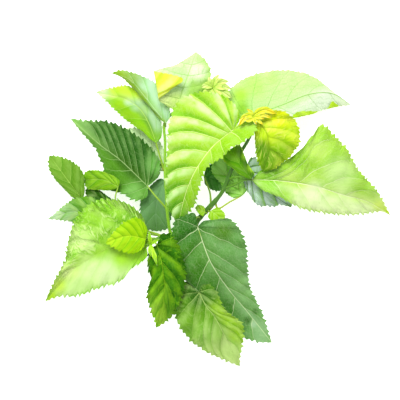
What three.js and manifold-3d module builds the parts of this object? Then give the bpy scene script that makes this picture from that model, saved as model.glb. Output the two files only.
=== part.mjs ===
// A mulberry sprig lying on a surface: a green shoot with two side shoots, broad toothed leaves
// on their petioles, and a bud with stipules at each shoot tip.
// Millimetres, +Z up. X and Y run along the surface that the sprig lies on.
import * as THREE from "three";
import { mergeVertices } from "three/addons/utils/BufferGeometryUtils.js";
import Module from "manifold-3d";

// Driving dimensions
const BLADE_THICKNESS = 0.8;
const MAIN_SHOOT_RADIUS = [2.4, 1.5]; // at the cut end and at the tip
const SIDE_SHOOT_RADIUS = [1.7, 1.1];
const PETIOLE_RADIUS = 1.0;
const THICK_PETIOLE_RADIUS = 1.4;
const RIB_DEPTH = 1.1; // how far the midrib stands out of the underside at the leaf's base
const RIB_WIDTH = 1.4; // half of its width there
const RIB_TAPER = 0.8; // the share of both that is gone at the leaf's tip
const RIB_ROOT = 3; // half of its width where it widens into the petiole
const ROOT_ROWS = 2; // rows at the base that start at the petiole with the midrib's whole width
const GAP = 0.3; // between a petiole's foot and the shoot that carries it
const CENTRE = [0, -0.15]; // middle of the sprig's outline on the surface
const STEM_COLOUR = 0x5f8f2a;
const BUD_COLOUR = 0xc8e03c;

// Fineness
const SHOOT_SIDES = 10;
const PETIOLE_SIDES = 6;
const SHOOT_STEP = 8;

// Rows of a blade run from its midrib to its margin, as its side veins do. The first rows fan out
// from its base. "across" lists where a row has points, as shares of the way to the margin.
const SIZES = {
  large: { rows: 21, veins: 7, across: [0.45, 1], tooth: 2.4 },
  medium: { rows: 12, veins: 6, across: [0.45, 1], tooth: 1.8 },
  small: { rows: 10, veins: 5, across: [1], tooth: 1.0 },
  leaflet: { rows: 6, veins: 5, across: [1], tooth: 0.5, ribbed: false },
};
const FAN_VEINS = 2; // intervals between veins that start at the blade's base
const LEVELLING = 0.4; // how far a row's own tilt gives way to the tilt of the whole blade there
const CAMBER = 0.06; // crown of each half blade, as a share of a row's length
const SWEEP = 0.05; // how far a row's middle lags behind, as a share of its length
const TOOTHED_ROW = 20; // rows shorter than this have smaller teeth
const PRESSED_HEIGHT = 6; // below this a blade that lies on the surface loses its crown and pleats

// Every point is [x, y, height above the surface]
const MAIN_SHOOT = [
  [-32, -52, 4], [-28, -35, 12], [-20, -11, 24], [-7, 4, 34], [3, 16, 40], [8, 26, 44],
  [13, 39, 48], [23, 58, 55], [31, 72, 60], [34, 87, 64], [35, 91, 67],
];
const LEFT_SHOOT = [
  [-28, -36, 12], [-46, -26, 20], [-50, -10, 26], [-51, 1, 28], [-52, 20, 30], [-53, 45, 32],
  [-53, 68, 33], [-53, 88, 34], [-38, 102, 36], [-16, 113, 41], [-6, 120, 47],
];
const LOWER_LEFT_SHOOT = [[-46, -26, 20], [-58, -28, 30], [-69, -33, 41]];

// A leaf: its petiole from the axis of the shoot to the blade, its midrib from base to tip, and
// the margin points on the left and the right of someone who walks up the midrib. "pleat" is how
// far the blade rises between its veins. A turned leaf shows its underside from above. A fold
// turns over what lies beyond its crease, a line seen from above with the blade on its right.
const LEAVES = [
  {
    name: "leaf_centre_front", size: "large", colour: 0xa9d94b, pleat: 2.4,
    petiole: [[31.5, 75, 61], [25, 77, 67]],
    rib: [[15, 79.5, 72], [-5, 63, 74], [-21, 41.5, 70], [-31, 20, 58], [-40, -14, 37]],
    left: [
      [22, 86, 76], [32, 88, 78], [39, 81, 80], [28, 69, 83], [14, 62, 83], [3, 51, 80],
      [-11, 42, 74], [-19, 20, 62], [-24, 4, 50],
    ],
    right: [
      [21, 89, 74], [20, 98, 76], [8, 112, 78], [-18, 117, 74], [-40, 107, 68], [-49, 82, 63],
      [-50, 60, 59], [-52, 23, 48], [-49, 0, 41],
    ],
  },
  {
    name: "leaf_top_turned", size: "large", colour: 0xdcf5a8, pleat: 1.2, turned: true,
    petiole: [[-45, 96, 35.5], [-45, 97, 43]],
    rib: [[-42, 100, 50], [-36, 118, 55], [-28, 140, 53], [-22, 158, 44]],
    left: [
      [-49, 102.5, 51], [-57, 108, 54], [-75, 113.5, 57], [-93, 119, 58], [-78, 131, 57],
      [-60, 140, 55], [-44, 144, 53], [-32, 151, 49],
    ],
    right: [[-34, 98, 50], [-20, 103, 50], [-13, 120, 50], [-7, 136, 49], [-13, 150, 46]],
    fold: { crease: [[-56.5, 113], [-61, 138]], radius: 3, turn: 2.85 },
    across: [0.4, 0.55, 0.7, 0.85, 1], fan: 1,
  },
  {
    name: "leaf_upper_right_turned", size: "large", colour: 0xdcf5b4, pleat: 1.6, turned: true,
    petiole: [[33, 83, 63], [31, 86, 55]],
    rib: [[30, 93, 48], [62, 104, 45], [92, 116, 35], [115, 117, 18], [134.7, 106.4, 0.4]],
    left: [
      [24, 90.5, 47.5], [15, 93.5, 47], [7, 102, 46], [7, 113, 46], [18, 126, 45], [38, 136, 43], [69, 140, 36],
      [94, 135, 26], [117, 119, 10],
    ],
    right: [[37, 89, 48], [54, 89, 46], [75, 91.5, 40], [93, 95.5, 31], [106, 100.5, 22], [120, 104, 10]],
  },
  {
    name: "leaf_young_right", size: "medium", colour: 0xc8e632, pleat: 1.8,
    petiole: [[34.7, 89.5, 66], [38.5, 89.5, 70]],
    rib: [[39.5, 88.5, 74], [48, 75, 77], [50, 58, 70], [45, 38, 60]],
    left: [[40, 97, 77], [52, 99.5, 80], [69, 96, 78], [79, 84, 72], [80, 65, 66], [68, 50, 62], [55, 41, 60]],
    right: [[36.5, 83, 72], [36.5, 72, 71], [37, 63, 69], [39, 50, 64]],
  },
  {
    name: "leaf_right_large", size: "large", colour: 0xa4d646, pleat: 2.0, thick: true, fan: 1,
    petiole: [[6, 21.5, 42], [16, 25, 46.5], [27, 30, 51]],
    rib: [
      [34, 30, 53], [54, 29.6, 52], [78, 27, 48], [103, 22, 40], [127, 14.6, 28], [149, 9, 15],
      [175, -5.6, 0.4],
    ],
    left: [
      [44, 40, 52], [62, 46, 53], [81, 59, 54], [95, 76, 54], [104, 85, 52], [117, 74, 46],
      [130, 60, 39], [140, 42, 30], [161, 19, 13],
    ],
    right: [
      [37, 26, 54], [45, 19.5, 54], [62, 12.5, 51], [82, 2, 43], [105, -3, 33], [132, -5, 19],
      [155, -3, 8], [166, -1.5, 3],
    ],
  },
  {
    name: "leaf_right_behind", size: "medium", colour: 0x86b89a, pleat: 1.4,
    petiole: [[16.5, 46, 50.5], [22, 44, 46]],
    rib: [[28, 42, 44], [44, 24, 38], [74, 2.5, 18]],
    left: [[34, 53, 45], [50, 42, 40], [67, 25, 30], [75, 12, 21]],
    right: [[26, 28, 41], [31, 16, 38], [40, 5, 31], [55, 4, 25], [65, 5, 20]],
  },
  {
    name: "leaf_small_folded", size: "small", colour: 0x5e9e1c, pleat: 1.0, across: [0.5, 1],
    petiole: [[10, 31, 45.6], [20, 33, 53]],
    rib: [[33, 31, 57.5], [22, 45, 63], [13, 61, 65]],
    left: [[26, 33, 58], [14, 42, 60], [4, 52, 62], [8, 58, 65]],
    right: [[36, 36, 58], [30, 45, 57], [26, 54, 60], [21, 65, 63]],
  },
  {
    name: "leaf_dark_behind_stem", size: "small", colour: 0x2f7a1c, pleat: 1.0, across: [0.5, 1],
    petiole: [[-7, 4.5, 34.2], [-8, 17, 32]],
    rib: [[-14, 34, 28], [-4, 30, 23], [8, 21, 16]],
    left: [[-11, 44, 26], [0, 46, 22], [8, 34, 18]],
    right: [[-13, 26, 27], [-6, 20, 21], [1, 19, 18]],
  },
  {
    name: "leaf_pale_behind_stem", size: "small", colour: 0xa6d8a0, pleat: 1.0, across: [0.5, 1],
    petiole: [[-3, 9, 36.5], [0, 1.5, 33], [12, 8, 35]],
    rib: [[25, 15, 36], [12, 32, 33], [-6, 48, 30]],
    left: [[16, 12, 34], [8, 17, 32], [3, 26, 31], [-6, 38, 29]],
    right: [[29, 20, 34], [31, 31, 34], [26, 44, 34], [12, 53, 32], [0, 55, 31]],
  },
  {
    name: "leaf_bottom_dark", size: "large", colour: 0x5fa43c, pleat: 2.0,
    petiole: [[-17, -7.5, 26.4], [-22, -8, 34]],
    rib: [
      [-20.4, -17, 42], [-8, -51, 36], [10, -79, 20], [28, -101, 5], [40, -116, 0.2],
      [55, -134.7, 0.2],
    ],
    left: [
      [-14, -11, 44], [-4, -10, 46], [11, -8.7, 48], [22, -19, 44], [28.5, -36, 37], [30, -60, 24], [32, -76, 12],
      [38, -90, 3], [46, -106, 0.2], [52, -125, 0.2],
    ],
    right: [
      [-24, -3, 45], [-34, -6, 48], [-43, -10, 50], [-46, -24, 47], [-43, -42, 41],
      [-36, -62, 33], [-22, -86, 19], [-4, -108, 5], [18, -126, 0.2], [40, -134, 0.2],
    ],
  },
  {
    name: "leaf_bottom_centre", size: "large", colour: 0x7dbe28, pleat: 2.4,
    petiole: [[-65.5, -31.5, 37.5], [-62.5, -33, 45]],
    rib: [[-60.6, -35, 50], [-56, -54, 52], [-53.5, -80, 45], [-57, -102, 34], [-62, -119, 25]],
    left: [
      [-56, -24, 52], [-46, -25, 54], [-37, -40, 54], [-32, -60, 50], [-35, -83, 45],
      [-43, -103, 38], [-52, -112, 31],
    ],
    right: [
      [-68, -40, 48], [-70, -57, 46], [-67, -68, 44], [-71, -83, 39], [-69, -96, 34],
      [-64, -110, 28],
    ],
  },
  {
    name: "leaf_bottom_pale", size: "large", colour: 0xb4e078, pleat: 2.2,
    petiole: [[-47, -25.5, 20.6], [-53, -36, 31], [-52, -49, 40], [-43, -60, 44.5], [-33, -69, 44]],
    rib: [
      [-18.7, -82.5, 39], [-12, -96, 40], [-4, -106, 36], [6, -125, 27], [13, -139, 18],
      [22.3, -158.3, 6],
    ],
    left: [
      [-17, -76, 40.5], [-10, -74.5, 42], [-3, -79, 43], [2, -89, 42], [8, -101, 38], [17, -107.5, 31],
      [25.5, -117, 23], [25, -134, 15], [22.5, -148, 10],
    ],
    right: [
      [-24.5, -77, 39.5], [-31, -71.5, 39.5], [-38, -76, 38.5], [-42, -87, 35.5], [-43.5, -104, 30.5],
      [-32, -126.6, 24], [-13, -142, 16], [5, -151, 10],
    ],
  },
  {
    name: "leaf_left_large", size: "large", colour: 0xb2e35e, pleat: 2.2,
    petiole: [[-63, -30, 35]],
    rib: [
      [-71.7, -38.3, 38], [-90, -37, 41], [-109, -38, 39], [-124, -46, 34], [-141, -56.6, 26],
      [-158, -74, 14], [-175, -93, 3],
    ],
    left: [
      [-71, -46, 37], [-76, -52, 36], [-87, -59, 34], [-97, -71, 29], [-121, -79, 20],
      [-143, -87, 11], [-162, -88, 5],
    ],
    right: [
      [-69.5, -33, 38.5], [-71, -22, 40.5], [-74, -10, 43], [-82, 1, 45], [-100, 10, 44], [-123, 9, 40],
      [-141, -6, 34], [-149, -26, 27], [-155, -52, 19], [-166, -73, 10],
    ],
  },
  {
    name: "leaf_young_left", size: "medium", colour: 0xa2dc14, pleat: 1.4,
    petiole: [[-66.3, -31, 38.5], [-69, -26.5, 45]],
    rib: [[-72.5, -29, 48], [-90, -26, 53], [-112.5, -33, 51]],
    left: [[-75, -38, 50], [-84, -43.5, 50], [-100, -40, 51]],
    right: [[-71, -18, 51], [-80, -8, 55], [-92, -11, 56], [-105, -23, 54]],
  },
  {
    name: "leaf_upper_left_dark", size: "large", colour: 0x4a8c2c, pleat: 1.8,
    petiole: [[-51.2, 1, 28], [-62, 13, 29]],
    rib: [[-71, 24, 26], [-98, 50, 24], [-118, 65, 16], [-149.3, 92.5, 0.4]],
    left: [
      [-71, 14, 26], [-82, 9, 24], [-96, 16, 21], [-109, 21, 16], [-115, 41, 12], [-124, 62, 8],
      [-139, 79.5, 4],
    ],
    right: [
      [-66, 27, 27], [-58.5, 36, 27], [-59, 50, 26], [-70, 65, 25], [-91, 81, 20], [-110, 89, 12],
      [-134, 90.5, 3],
    ],
  },
  {
    name: "leaf_left_far", size: "medium", colour: 0x84c046, pleat: 1.2,
    petiole: [[-53, -27, 25.8], [-85, -16, 24], [-112, 1, 24]],
    rib: [[-136, 10, 24], [-150, 28, 18], [-170.3, 55, 7]],
    left: [[-144, 11, 23], [-156, 22, 17], [-166, 33, 12], [-171.5, 45, 9]],
    right: [[-134, 20, 24], [-137, 40, 19], [-148, 49.5, 14], [-161, 54, 9]],
  },
  {
    name: "leaf_left_folded", size: "small", colour: 0x98d420, pleat: 0.8, across: [0.5, 1],
    petiole: [[-56, -27.5, 28.4], [-80, -16, 33], [-101, 2, 33], [-103, 13, 31]],
    rib: [[-100, 23, 29], [-114, 30, 27], [-136, 30, 13]],
    left: [[-106, 20, 27], [-120, 20, 23], [-132, 22, 15]],
    right: [[-99, 29, 29], [-110, 36.5, 26], [-124, 40, 21], [-134, 38, 14]],
  },
  {
    name: "leaf_left_shadow", size: "small", colour: 0x3f7f26, pleat: 0.8, across: [0.5, 1],
    petiole: [[-49, -26.5, 22.4], [-70, -24, 17], [-90, -10, 19]],
    rib: [[-104, 2, 21], [-118, 12, 18], [-134, 20, 14]],
    left: [[-107, -3, 21], [-113, -2, 20], [-124, 4, 17], [-132, 12, 15]],
    right: [[-104.5, 8, 21], [-110, 13, 20], [-120, 20, 17], [-129, 23, 15]],
  },
  {
    name: "leaf_left_behind", size: "medium", colour: 0x90d078, pleat: 1.2,
    petiole: [[-60, -29, 32], [-90, -26, 34]],
    rib: [[-118, -12, 29], [-143, -2, 24], [-172.3, -9.4, 11]],
    left: [[-117.5, -19, 29], [-123, -26, 27], [-138, -18, 22], [-148, -12, 19], [-159, -10.6, 15]],
    right: [[-114.5, -6, 30], [-116, 4, 31], [-126, 12.5, 31], [-142, 12, 28], [-156, 4, 20], [-165, -4, 15]],
  },
  {
    name: "leaf_narrow_top", size: "medium", colour: 0xa8d880, pleat: 0.8,
    petiole: [[-53, 84, 34]],
    rib: [[-52, 87, 42], [-62, 99, 46], [-73, 113, 47], [-88, 130, 44], [-107, 137, 36]],
    left: [[-59, 91, 42], [-69, 104, 41], [-81, 117, 42], [-93, 130, 40], [-101, 135, 38]],
    right: [[-48, 94, 42], [-50, 107, 41], [-57, 121, 41], [-67, 130, 42], [-84, 137, 41], [-98, 140, 38]],
  },
  {
    name: "leaf_yellow_upper_left", size: "medium", colour: 0xc0e628, pleat: 1.2, fan: 1,
    petiole: [[-52.9, 38, 31.4], [-56.5, 48, 33]],
    rib: [
      [-62, 67, 36], [-69, 86, 38], [-78, 101, 35], [-92, 111, 26], [-106, 115, 18],
      [-123.2, 119, 9],
    ],
    left: [[-68, 71, 35], [-76, 79, 32], [-87, 86.5, 27], [-100, 97, 21], [-113, 110, 14]],
    right: [
      [-57, 73, 36], [-57, 88, 36], [-66, 104, 35], [-78, 117, 33], [-91, 125, 28],
      [-105, 123.5, 20], [-116, 121.5, 13],
    ],
  },
  {
    name: "leaf_grey_behind", size: "medium", colour: 0xa0cda0, pleat: 0.8, turned: true,
    petiole: [[-52.4, 32, 30.9], [-51.5, 35, 25]],
    rib: [[-54, 39, 20], [-68, 60, 18], [-92, 82, 12]],
    left: [[-66, 40, 17], [-83, 55, 13], [-93, 70, 11]],
    right: [[-51, 48, 20], [-55, 62, 19], [-63, 74, 17], [-78, 82.5, 14]],
  },
  {
    name: "leaf_shadow_centre", size: "medium", colour: 0x4e946a, pleat: 1.0,
    petiole: [[-52.1, 24, 30.3], [-51.5, 28, 23]],
    rib: [[-54, 30, 16], [-62, 5, 12], [-62, -22, 4]],
    left: [[-49.5, 27, 16], [-46, 16, 14], [-46, 0, 12], [-51, -19, 7]],
    right: [[-58, 31.5, 16], [-66, 26, 14.5], [-77, 12, 12], [-78.5, -5, 9], [-72, -19, 6]],
  },
  {
    name: "leaflet_stem_left", size: "leaflet", colour: 0x9ccc32, pleat: 0.4,
    petiole: [[-12.5, -2.4, 29.8], [-11, -4, 34]],
    rib: [[-13, -2, 36], [-18, 0, 38.5], [-23, 2, 39]],
    left: [[-15, -6, 37], [-20, -3, 39]],
    right: [[-14, 3, 37], [-20, 5, 39]],
  },
  {
    name: "leaflet_stem_right", size: "leaflet", colour: 0x9ccc28, pleat: 0.4,
    petiole: [[-9.5, 1, 32.2], [-9, -2, 36]],
    rib: [[-7, -1, 38.5], [-1, -5.5, 40], [6, -13, 39.5]],
    left: [[-1, 2, 39], [7, -4, 39.5]],
    right: [[-10, -7, 39], [-3, -13, 39.5]],
  },
];

// A shoot tip: a bud and the stipules round it, each from the bud to its point, with its width
const BUDS = [
  {
    name: "bud_right_tip", core: [[35, 91.5, 66], [34.5, 92.5, 76], [34, 93, 83]], radius: 1.4,
    stipules: [
      { rib: [[35, 92, 80], [29, 93, 85], [21, 86, 87]], width: 6 },
      { rib: [[35, 92, 80], [41, 95, 85], [50, 100, 86]], width: 5 },
      { rib: [[35, 92, 79], [38, 87, 84], [43, 80, 83]], width: 4 },
      { rib: [[35, 92, 78], [34, 98, 83], [27, 101, 84]], width: 4 },
    ],
  },
  {
    name: "bud_left_tip", core: [[-69, -33, 40], [-67.5, -34.5, 50], [-66, -34, 58]], radius: 1.5,
    stipules: [
      { rib: [[-67, -34, 55], [-64, -44, 60], [-60.5, -56, 57]], width: 4 },
      { rib: [[-67, -34, 55], [-68, -41, 59], [-66, -47, 57]], width: 3.5 },
      { rib: [[-67, -34, 55], [-68, -28, 60], [-69, -21, 60]], width: 4 },
      { rib: [[-67, -34, 55], [-62, -31, 60], [-58, -29, 60]], width: 3 },
    ],
  },
  {
    name: "bud_top", core: [[-6, 120, 46], [-5, 122, 53], [-4, 123, 60]], radius: 1.5,
    stipules: [
      { rib: [[-5, 122, 57], [-9, 126, 61], [-12, 130, 61]], width: 4 },
      { rib: [[-5, 122, 57], [-2, 127, 61], [2, 131, 60]], width: 4 },
      { rib: [[-5, 122, 57], [0, 121, 61], [5, 119, 60]], width: 3.5 },
      { rib: [[-5, 122, 57], [-10, 120, 60], [-14, 116, 60]], width: 3.5 },
    ],
  },
];

const wasm = await Module();
wasm.setup();

const vector = ([x, y, z]) => new THREE.Vector3(x, y, z);
const curveOf = (points) => new THREE.CatmullRomCurve3(points.map(vector));

// A closed geometry as a manifold-3d solid, and back
function solidOf(geometry) {
  const bare = geometry.clone();
  bare.deleteAttribute("normal");
  bare.deleteAttribute("uv");
  const merged = mergeVertices(bare, 1e-3);
  return new wasm.Manifold(
    new wasm.Mesh({
      numProp: 3,
      vertProperties: merged.attributes.position.array,
      triVerts: new Uint32Array(merged.index.array),
    }),
  );
}

function geometryOf(solid) {
  const mesh = solid.getMesh();
  const geometry = new THREE.BufferGeometry();
  geometry.setAttribute("position", new THREE.BufferAttribute(mesh.vertProperties, 3));
  geometry.setIndex(new THREE.BufferAttribute(mesh.triVerts, 1));
  return geometry;
}

// A cut can leave a loose sliver, which is dropped
function largestBody(solid) {
  return solid.decompose().reduce((kept, body) => (body.volume() > kept.volume() ? body : kept));
}

// A round shoot or petiole along a curve, from its first radius to its last
function taperedTube(points, [startRadius, endRadius], sides, stepLength) {
  const curve = curveOf(points);
  const steps = Math.max(3, Math.round(curve.getLength() / stepLength));
  const section = new THREE.Shape();
  for (let i = 0; i < sides; i++) {
    const angle = (i / sides) * 2 * Math.PI;
    const corner = [startRadius * Math.cos(angle), startRadius * Math.sin(angle)];
    if (i === 0) section.moveTo(...corner);
    else section.lineTo(...corner);
  }
  const tube = new THREE.ExtrudeGeometry(section, { steps, extrudePath: curve });
  const centres = curve.getSpacedPoints(steps);
  const position = tube.attributes.position;
  const corner = new THREE.Vector3();
  for (let i = 0; i < position.count; i++) {
    corner.fromBufferAttribute(position, i);
    const distances = centres.map((centre) => centre.distanceTo(corner));
    const ring = distances.indexOf(Math.min(...distances));
    const share = THREE.MathUtils.lerp(1, endRadius / startRadius, ring / steps);
    corner.sub(centres[ring]).multiplyScalar(share).add(centres[ring]);
    position.setXYZ(i, corner.x, corner.y, corner.z);
  }
  return solidOf(tube);
}

// The middle surface of a blade at a share "along" the margin from base to tip, and "across"
// from the left margin at -1 through the midrib at 0 to the right margin at 1
function bladePoint(leaf, along, across) {
  const margin = across < 0 ? leaf.leftCurve : leaf.rightCurve;
  const { foot, edge } = rowEnds(leaf, along, across);
  const row = edge.clone().sub(foot);
  const length = row.length();
  const share = Math.abs(across);
  if (length < 1e-6) return foot;
  const outward = row.clone().divideScalar(length);
  const forward = margin.getTangentAt(along);
  const up = outward.clone().cross(forward).multiplyScalar(Math.sign(across));
  up.addScaledVector(bladeNormal(leaf, along), LEVELLING).normalize();
  const crown = 4 * share * (1 - share);
  const ridge = Math.sin(Math.PI * leaf.veins * along) ** 2 * Math.sin(Math.PI * share ** 0.8);
  const taper = Math.min(1, length / 25);
  const point = foot.addScaledVector(row, share);
  const relief = THREE.MathUtils.clamp(point.z / PRESSED_HEIGHT - 0.1, 0, 1);
  point.addScaledVector(forward, -SWEEP * length * crown);
  point.addScaledVector(up, relief * (CAMBER * length * crown + leaf.pleat * taper * ridge));
  if (leaf.fold) foldOver(leaf.fold, point);
  return point;
}

// Where a row starts on the midrib and ends on the margin, before anything is folded
function rowEnds(leaf, along, across) {
  const margin = across < 0 ? leaf.leftCurve : leaf.rightCurve;
  return { foot: leaf.ribCurve.getPointAt(ribShare(leaf, along)), edge: margin.getPointAt(along) };
}

// How far up the midrib a row starts. The rows of the fan all start at its base.
function ribShare(leaf, along) {
  const fan = leaf.fan / leaf.veins;
  return Math.max(0, (along - fan) / (1 - fan));
}

// The way up from the whole blade, across both halves
function bladeNormal(leaf, along) {
  const level = THREE.MathUtils.clamp(along, 0.1, 0.95);
  const width = leaf.rightCurve.getPointAt(level).sub(leaf.leftCurve.getPointAt(level));
  return width.cross(leaf.ribCurve.getTangentAt(ribShare(leaf, level))).normalize();
}

// The start of a crease, and the way out from it over the part that turns
function creaseOf({ crease }) {
  const [start, end] = crease.map(([x, y]) => new THREE.Vector3(x, y, 0));
  const along = end.sub(start).normalize();
  return { start, outward: new THREE.Vector3(-along.y, along.x, 0) };
}

// Turns over what lies beyond the crease: round an arc, and then straight
function foldOver(fold, point) {
  const { radius, turn } = fold;
  const { start, outward } = creaseOf(fold);
  const beyond = point.clone().sub(start).dot(outward);
  if (beyond <= 0) return;
  const angle = Math.min(beyond / radius, turn);
  const rest = beyond - angle * radius;
  point.addScaledVector(outward, radius * Math.sin(angle) + rest * Math.cos(angle) - beyond);
  point.z += radius * (1 - Math.cos(angle)) + rest * Math.sin(angle);
}

// A blade: its top and its underside split into triangles alike, and the strip round its margin
function bladeSolid(leaf) {
  const { rows } = leaf;
  const half = leaf.across.length + (leaf.ribbed ? 1 : 0);
  const thickness = BLADE_THICKNESS / 2;
  const points = [];
  const ribs = [];
  const numbers = new Map();
  const fanRows = (rows * leaf.fan) / leaf.veins;

  const key = (row, column) => {
    const span = row > ROOT_ROWS || !leaf.ribbed ? 0 : 1;
    if (row === 0 || (row <= fanRows && Math.abs(column) <= span)) return "base";
    return row === rows ? "tip" : `${row},${column}`;
  };
  for (let row = 0; row <= rows; row++) {
    for (let column = -half; column <= half; column++) {
      if (numbers.has(key(row, column))) continue;
      numbers.set(key(row, column), points.length);
      points.push(rowPoint(leaf, row, column));
      ribs.push(leaf.ribbed && column === 0 ? 1 - RIB_TAPER * (row / rows) : 0);
    }
  }
  const number = (row, column) => numbers.get(key(row, column));

  const faces = [];
  const addFace = (a, b, c) => {
    if (a !== b && b !== c && c !== a) faces.push([a, b, c]);
  };
  for (let row = 0; row < rows; row++) {
    for (let column = -half; column < half; column++) {
      const corners = [
        number(row, column), number(row, column + 1),
        number(row + 1, column + 1), number(row + 1, column),
      ];
      const [a, b, c, d] = corners;
      if (column < 0) {
        addFace(a, b, c);
        addFace(a, c, d);
      } else {
        addFace(a, b, d);
        addFace(b, c, d);
      }
    }
  }

  const middle = new THREE.BufferGeometry().setFromPoints(points);
  middle.setIndex(faces.flat());
  middle.computeVertexNormals();
  const normals = middle.attributes.normal;
  const normal = new THREE.Vector3();
  const top = [];
  const bottom = [];
  points.forEach((point, i) => {
    normal.fromBufferAttribute(normals, i);
    const above = thickness + (leaf.turned ? ribs[i] * RIB_DEPTH : 0);
    const below = thickness + (leaf.turned ? 0 : ribs[i] * RIB_DEPTH);
    const under = point.clone().addScaledVector(normal, -below);
    under.z = point.z > thickness ? Math.max(0, under.z) : 0;
    top.push(point.clone().addScaledVector(normal, above));
    bottom.push(under);
  });

  const count = points.length;
  const rim = [];
  for (let row = 0; row <= rows; row++) rim.push(number(row, half));
  for (let row = rows - 1; row > 0; row--) rim.push(number(row, -half));
  const strip = rim.flatMap((a, i) => {
    const b = rim[(i + 1) % rim.length];
    return [a + count, b + count, b, a + count, b, a];
  });
  const shell = new THREE.BufferGeometry().setFromPoints([...top, ...bottom]);
  shell.setIndex([
    ...faces.flat(), ...faces.flatMap(([a, b, c]) => [a + count, c + count, b + count]), ...strip,
  ]);
  return solidOf(shell);
}

// Where a row that crosses the crease has its points: from there to the end of the arc, evenly.
// A row whose end only just crosses it has them no closer together than its neighbours.
function foldedShares({ fold, across }, foot, edge) {
  const { start, outward } = creaseOf(fold);
  const [inner, outer] = [foot, edge].map((point) => point.clone().sub(start).dot(outward));
  if (outer <= 0) return across;
  const first = Math.min(-inner / (outer - inner), 0.55);
  const arc = Math.min((fold.radius * fold.turn) / (outer - inner), 0.8 * (1 - first));
  const last = across.length - 1;
  return across.map((share, i) => (i === last ? 1 : first + (arc * i) / (last - 1)));
}

// One point of a blade's rows: column 0 is the midrib, 1 the midrib's edge, and the last the margin
function rowPoint(leaf, row, column) {
  const along = row / leaf.rows;
  const side = Math.sign(column) || 1;
  const { foot, edge } = rowEnds(leaf, along, side);
  const length = Math.max(1e-3, edge.distanceTo(foot));
  const ribWidth = ribShare(leaf, along) === 0 ? RIB_ROOT : RIB_WIDTH * (1 - RIB_TAPER * along);
  const ribEdge = Math.min(0.3, ribWidth / length);
  const across = leaf.fold ? foldedShares(leaf, foot, edge) : leaf.across;
  const shares = leaf.ribbed ? [0, ribEdge, ...across] : [0, ...across];
  const share = shares[Math.abs(column)];
  const tooth = (leaf.tooth / 2) * Math.min(1, length / TOOTHED_ROW) * (row % 2 === 1 ? -1 : 1);
  const reach = share === 1 ? tooth / length : 0;
  const point = bladePoint(leaf, along, side * (share + reach));
  point.z = Math.max(point.z, BLADE_THICKNESS / 2);
  return point;
}

function prepare(leaf) {
  const base = leaf.rib[0];
  const tip = leaf.rib.at(-1);
  return {
    ribbed: true,
    fan: FAN_VEINS,
    ...SIZES[leaf.size],
    ...leaf,
    ribCurve: curveOf(leaf.rib),
    leftCurve: curveOf([base, ...leaf.left, tip]),
    rightCurve: curveOf([base, ...leaf.right, tip]),
  };
}

// The petiole runs on for a little way below the midrib, so that it holds the blade
function leafSolid(leaf, shootsWithGap) {
  const blade = prepare(leaf);
  const side = leaf.turned ? 1 : -1;
  const joint = [0.02, 0.1].map((share) => {
    const { x, y, z } = blade.ribCurve.getPointAt(share);
    return [x, y, Math.max(z + side * RIB_DEPTH, 1)];
  });
  const radius = leaf.thick ? THICK_PETIOLE_RADIUS : PETIOLE_RADIUS;
  const small = leaf.size === "leaflet" ? 0.7 : 1;
  const petiole = taperedTube(
    [...leaf.petiole, ...joint], [radius * small * 1.1, radius * small * 0.7], PETIOLE_SIDES, 6,
  );
  return largestBody(bladeSolid(blade).add(petiole).subtract(shootsWithGap));
}

// A stipule: a narrow blade with smooth margins
function stipuleSolid({ rib, width }) {
  const curve = curveOf(rib);
  const sideways = curve.getTangentAt(0.5).cross(new THREE.Vector3(0, 0, 1)).normalize();
  const margin = (side) =>
    [0.3, 0.7].map((share) => {
      const point = curve.getPointAt(share).addScaledVector(sideways, (side * width) / 2);
      return [point.x, point.y, point.z];
    });
  return bladeSolid(
    prepare({
      size: "leaflet", rows: 5, tooth: 0, pleat: 0, rib,
      left: margin(-1), right: margin(1),
    }),
  );
}

function budSolid({ core, radius, stipules }, shootsWithGap) {
  const parts = [taperedTube(core, [radius * 0.8, radius], 8, 4), ...stipules.map(stipuleSolid)];
  return largestBody(parts.reduce((joined, part) => joined.add(part)).subtract(shootsWithGap));
}

function shootsSolid(extra) {
  const wider = (radii) => radii.map((radius) => radius + extra);
  return [
    taperedTube(MAIN_SHOOT, wider(MAIN_SHOOT_RADIUS), SHOOT_SIDES, SHOOT_STEP),
    taperedTube(LEFT_SHOOT, wider(SIDE_SHOOT_RADIUS), SHOOT_SIDES, SHOOT_STEP),
    taperedTube(LOWER_LEFT_SHOOT, wider(SIDE_SHOOT_RADIUS), SHOOT_SIDES, SHOOT_STEP),
  ].reduce((joined, shoot) => joined.add(shoot));
}

function addMesh(group, name, solid, colour, roughness) {
  const material = new THREE.MeshStandardMaterial({ color: colour, roughness, metalness: 0 });
  const mesh = new THREE.Mesh(geometryOf(solid), material);
  mesh.name = name;
  group.add(mesh);
}

const sprig = new THREE.Group();
const shootsWithGap = shootsSolid(GAP);
addMesh(sprig, "stem", shootsSolid(0), STEM_COLOUR, 0.5);
for (const leaf of LEAVES) {
  addMesh(sprig, leaf.name, leafSolid(leaf, shootsWithGap), leaf.colour, 0.55);
}
for (const bud of BUDS) {
  addMesh(sprig, bud.name, budSolid(bud, shootsWithGap), BUD_COLOUR, 0.5);
}
sprig.position.set(-CENTRE[0], -CENTRE[1], 0);

export default sprig;
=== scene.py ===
# %% [markdown]
# # A mulberry sprig
# The real thing is a green shoot cut from a white mulberry. It carries broad toothed leaves on
# long stalks, two side shoots, and a tuft of unfolding leaves at each tip, and it lies where it
# was put down. The CAD model has each leaf as a plain solid. This script gives every leaf its
# fine form: teeth, veins, puckers, a thin blade with two different faces, and a living surface.
#
# First the CAD model is loaded as a fixed frame. Everything below is made in metres around it.

# %% Load the frame
import math
import random
from types import SimpleNamespace

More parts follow.
